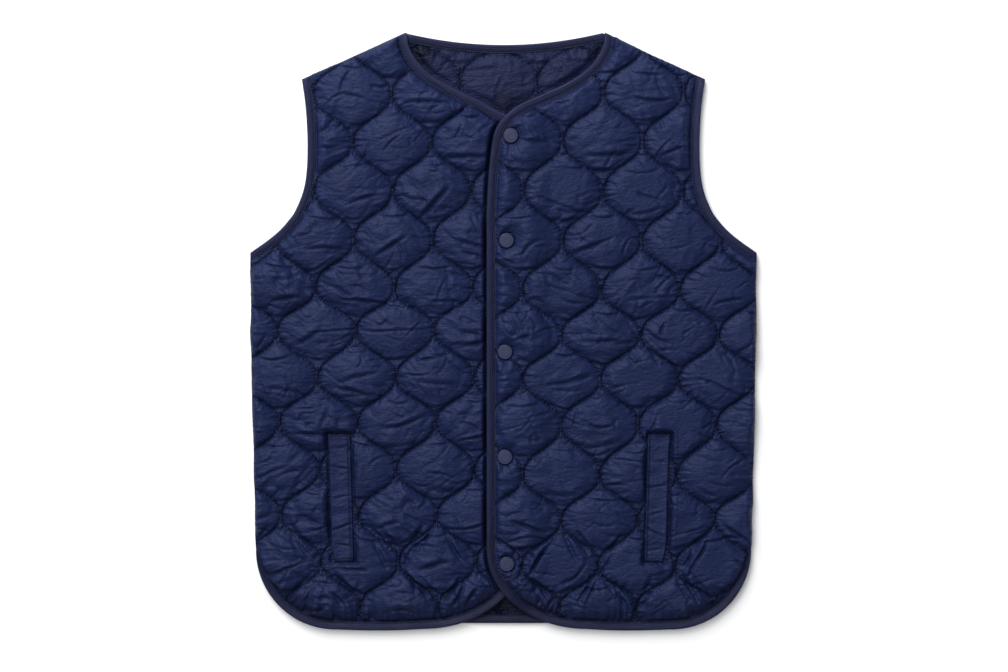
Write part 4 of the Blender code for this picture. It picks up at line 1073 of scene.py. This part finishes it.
def makeBinding():
    finish = Finish("bindingTape", {"Specular IOR Level": 0.22, "Specular Tint": (0.75, 0.8, 1, 1)})
    place = finish.place()
    across, along = finish.attribute("tapeAcross"), finish.attribute("seamAlong")
    scale, bumps = binding["scale"], binding["relief"]
    cloudy = finish.noise(place, scale["cloudy"], 3.0, 0.6)
    weave = finish.noise(place, scale["weave"], 1.0, 0.5)
    lengthwise = finish.node("ShaderNodeCombineXYZ", None, {"X": across * 0.75, "Y": along * 0.035})
    rib = finish.noise(lengthwise, 1.0, 2.0, 0.6)
    stitchLine = (across - tape["stitchIn"]).math("ABSOLUTE").ramp(0.2, 1.0, 1.0, 0.0)
    bead = (along * (math.tau / binding["stitchPitch"])).math("SINE")
    # painted shade: the tape darkens from its outer fold towards its inner side beside the puffs
    outward = across.ramp(0.5, 8.0, 1.0, 0.0)
    colour = blendColour(finish, outward * 0.8 + rib * 0.8 - 0.3, binding["inner"], binding["outer"])
    # painted shade from the tape's shaded attribute, towards the gloom colour
    colour = blendColour(finish, finish.attribute("shaded"), colour, nylon["gloom"])
    thread = stitchLine * (0.55 + bead * 0.3)
    finish.feed("Base Color", blendColour(finish, thread, colour, binding["thread"]))
    finish.feed("Roughness", cloudy.ramp(0.3, 0.7, *binding["rough"]))
    relief = finish.bump(weave, *bumps["weave"])
    relief = finish.bump(rib, *bumps["rib"], relief)
    finish.feed("Normal", finish.bump(bead * stitchLine, *bumps["bead"], relief))
    return finish.material


plastic = {"dark": (0.0108, 0.0146, 0.0520, 1), "light": (0.0138, 0.0182, 0.0600, 1), "rough": (0.42, 0.55),
           "scale": {"cloudy": 120, "grain": 1800}, "relief": {"grain": (0.15, 0.0001)}}


def makeSnap():
    finish = Finish("snapPlastic", {"Specular IOR Level": 0.3})
    place = finish.place()
    cloudy = finish.noise(place, plastic["scale"]["cloudy"], 2.0, 0.5)
    grain = finish.noise(place, plastic["scale"]["grain"], 2.0, 0.5)
    finish.feed("Base Color", blendColour(finish, cloudy, plastic["dark"], plastic["light"]))
    finish.feed("Roughness", grain.ramp(0.3, 0.7, *plastic["rough"]))
    finish.feed("Normal", finish.bump(grain, *plastic["relief"]["grain"]))
    return finish.material


shellFinish = makeNylon("shellNylon", nylon)
liningFinish = makeNylon("liningNylon", lining)
weltFinish = makeNylon("weltNylon", nylon, False)
bindingFinish = makeBinding()
snapFinish = makeSnap()
print("finishes made")

grids = {"right": (1.46, 1.14), "left": (1.46, 1.14), "back": (2.0, 1.8)}
nodeNames = {"right": "front_right", "left": "front_left", "back": "back"}
for name, panel in panels.items():
    finish = liningFinish if name == "back" else shellFinish
    panelPiece(f"{name}Panel", panel, grids[name], finish)
    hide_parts(nodeNames[name])
    print(name, "panel made")

# name, panel, which of its tapes, and the node
tapes = [
    ("edgeTapeRight", "right", 1, "edge_binding_right"),
    ("armTapeFrontRight", "right", 0, "armhole_binding_front_right"),
    ("edgeTapeLeft", "left", 0, "edge_binding_left"),
    ("armTapeFrontLeft", "left", 1, "armhole_binding_front_left"),
    ("armTapeBackRight", "back", 0, "armhole_binding_back_right"),
    ("neckTapeBack", "back", 1, "neck_binding_back"),
    ("armTapeBackLeft", "back", 2, "armhole_binding_back_left"),
    ("hemTapeBack", "back", 3, "hem_binding_back"),
]
tapesOf = {"right": [], "left": [], "back": []}
for count, (name, owner, index, node) in enumerate(tapes):
    piece = tapePiece(name, panels[owner], index, 8100 + 10 * count)
    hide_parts(node)
    tapesOf[owner].append(piece)
print("bindings made")

for name, welt in welts.items():
    piece = weltPiece(name, panels[name], welt)
    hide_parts(f"welt_{name}")
    tapesOf[name].append(piece)
print("welts made")

for number, (x, y) in enumerate(snaps, start=1):
    snapPiece(number, x, y)
    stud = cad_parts[f"snap_stud_{number}"]
    stud.data.materials.clear()
    stud.data.materials.append(snapFinish)
print("snaps made")


# Floor, light and camera
studio = {"floor": 6.0, "floorColour": (0.97, 0.97, 0.97, 1), "sky": (0.95, 0.97, 1.0, 1),
          "skyStrength": 0.30, "lens": 85, "across": 1.008, "look": (0.5, -4.5), "faceHeight": 10}
# each lamp: place in metres, size and power
lamps = {"keyLight": ((-1.15, 2.5, 2.0), (2.0, 2.8), 138), "overLight": ((-0.7, 0.4, 3.0), (2.6, 2.6), 45)}


def makeFloor():
    mesh = bmesh.new()
    bmesh.ops.create_grid(mesh, x_segments=4, y_segments=4, size=studio["floor"] / 2)
    look = {"Roughness": 0.9, "Specular IOR Level": 0.1, "Base Color": studio["floorColour"]}
    solidOf("floor", mesh, Finish("paleFloor", look).material)


def areaLight(name, place, size, power):
    # a lamp that looks at the vest's middle
    light = bpy.data.lights.new(name, "AREA")
    light.shape = "RECTANGLE"
    light.size, light.size_y = size
    light.energy = power
    lamp = placed(name, light)
    lamp.location = place
    lamp.rotation_euler = (-Vector(place)).to_track_quat("-Z", "Y").to_euler()


makeFloor()
for name, lamp in lamps.items():
    areaLight(name, *lamp)
world = bpy.data.worlds.new("studio")
bpy.context.scene.world = world
world.use_nodes = True
background = world.node_tree.nodes["Background"]
background.inputs["Color"].default_value = studio["sky"]
background.inputs["Strength"].default_value = studio["skyStrength"]

cameraData = bpy.data.cameras.new("camera")
cameraData.lens = studio["lens"]
distance = studio["across"] * studio["lens"] / cameraData.sensor_width
camera = placed("camera", cameraData)
camera.location = (studio["look"][0] * mm, studio["look"][1] * mm, distance + studio["faceHeight"] * mm)
bpy.context.scene.camera = camera
bpy.context.scene.view_settings.view_transform = "Standard"
bpy.context.scene.view_settings.look = "None"
print("camera and lights placed")
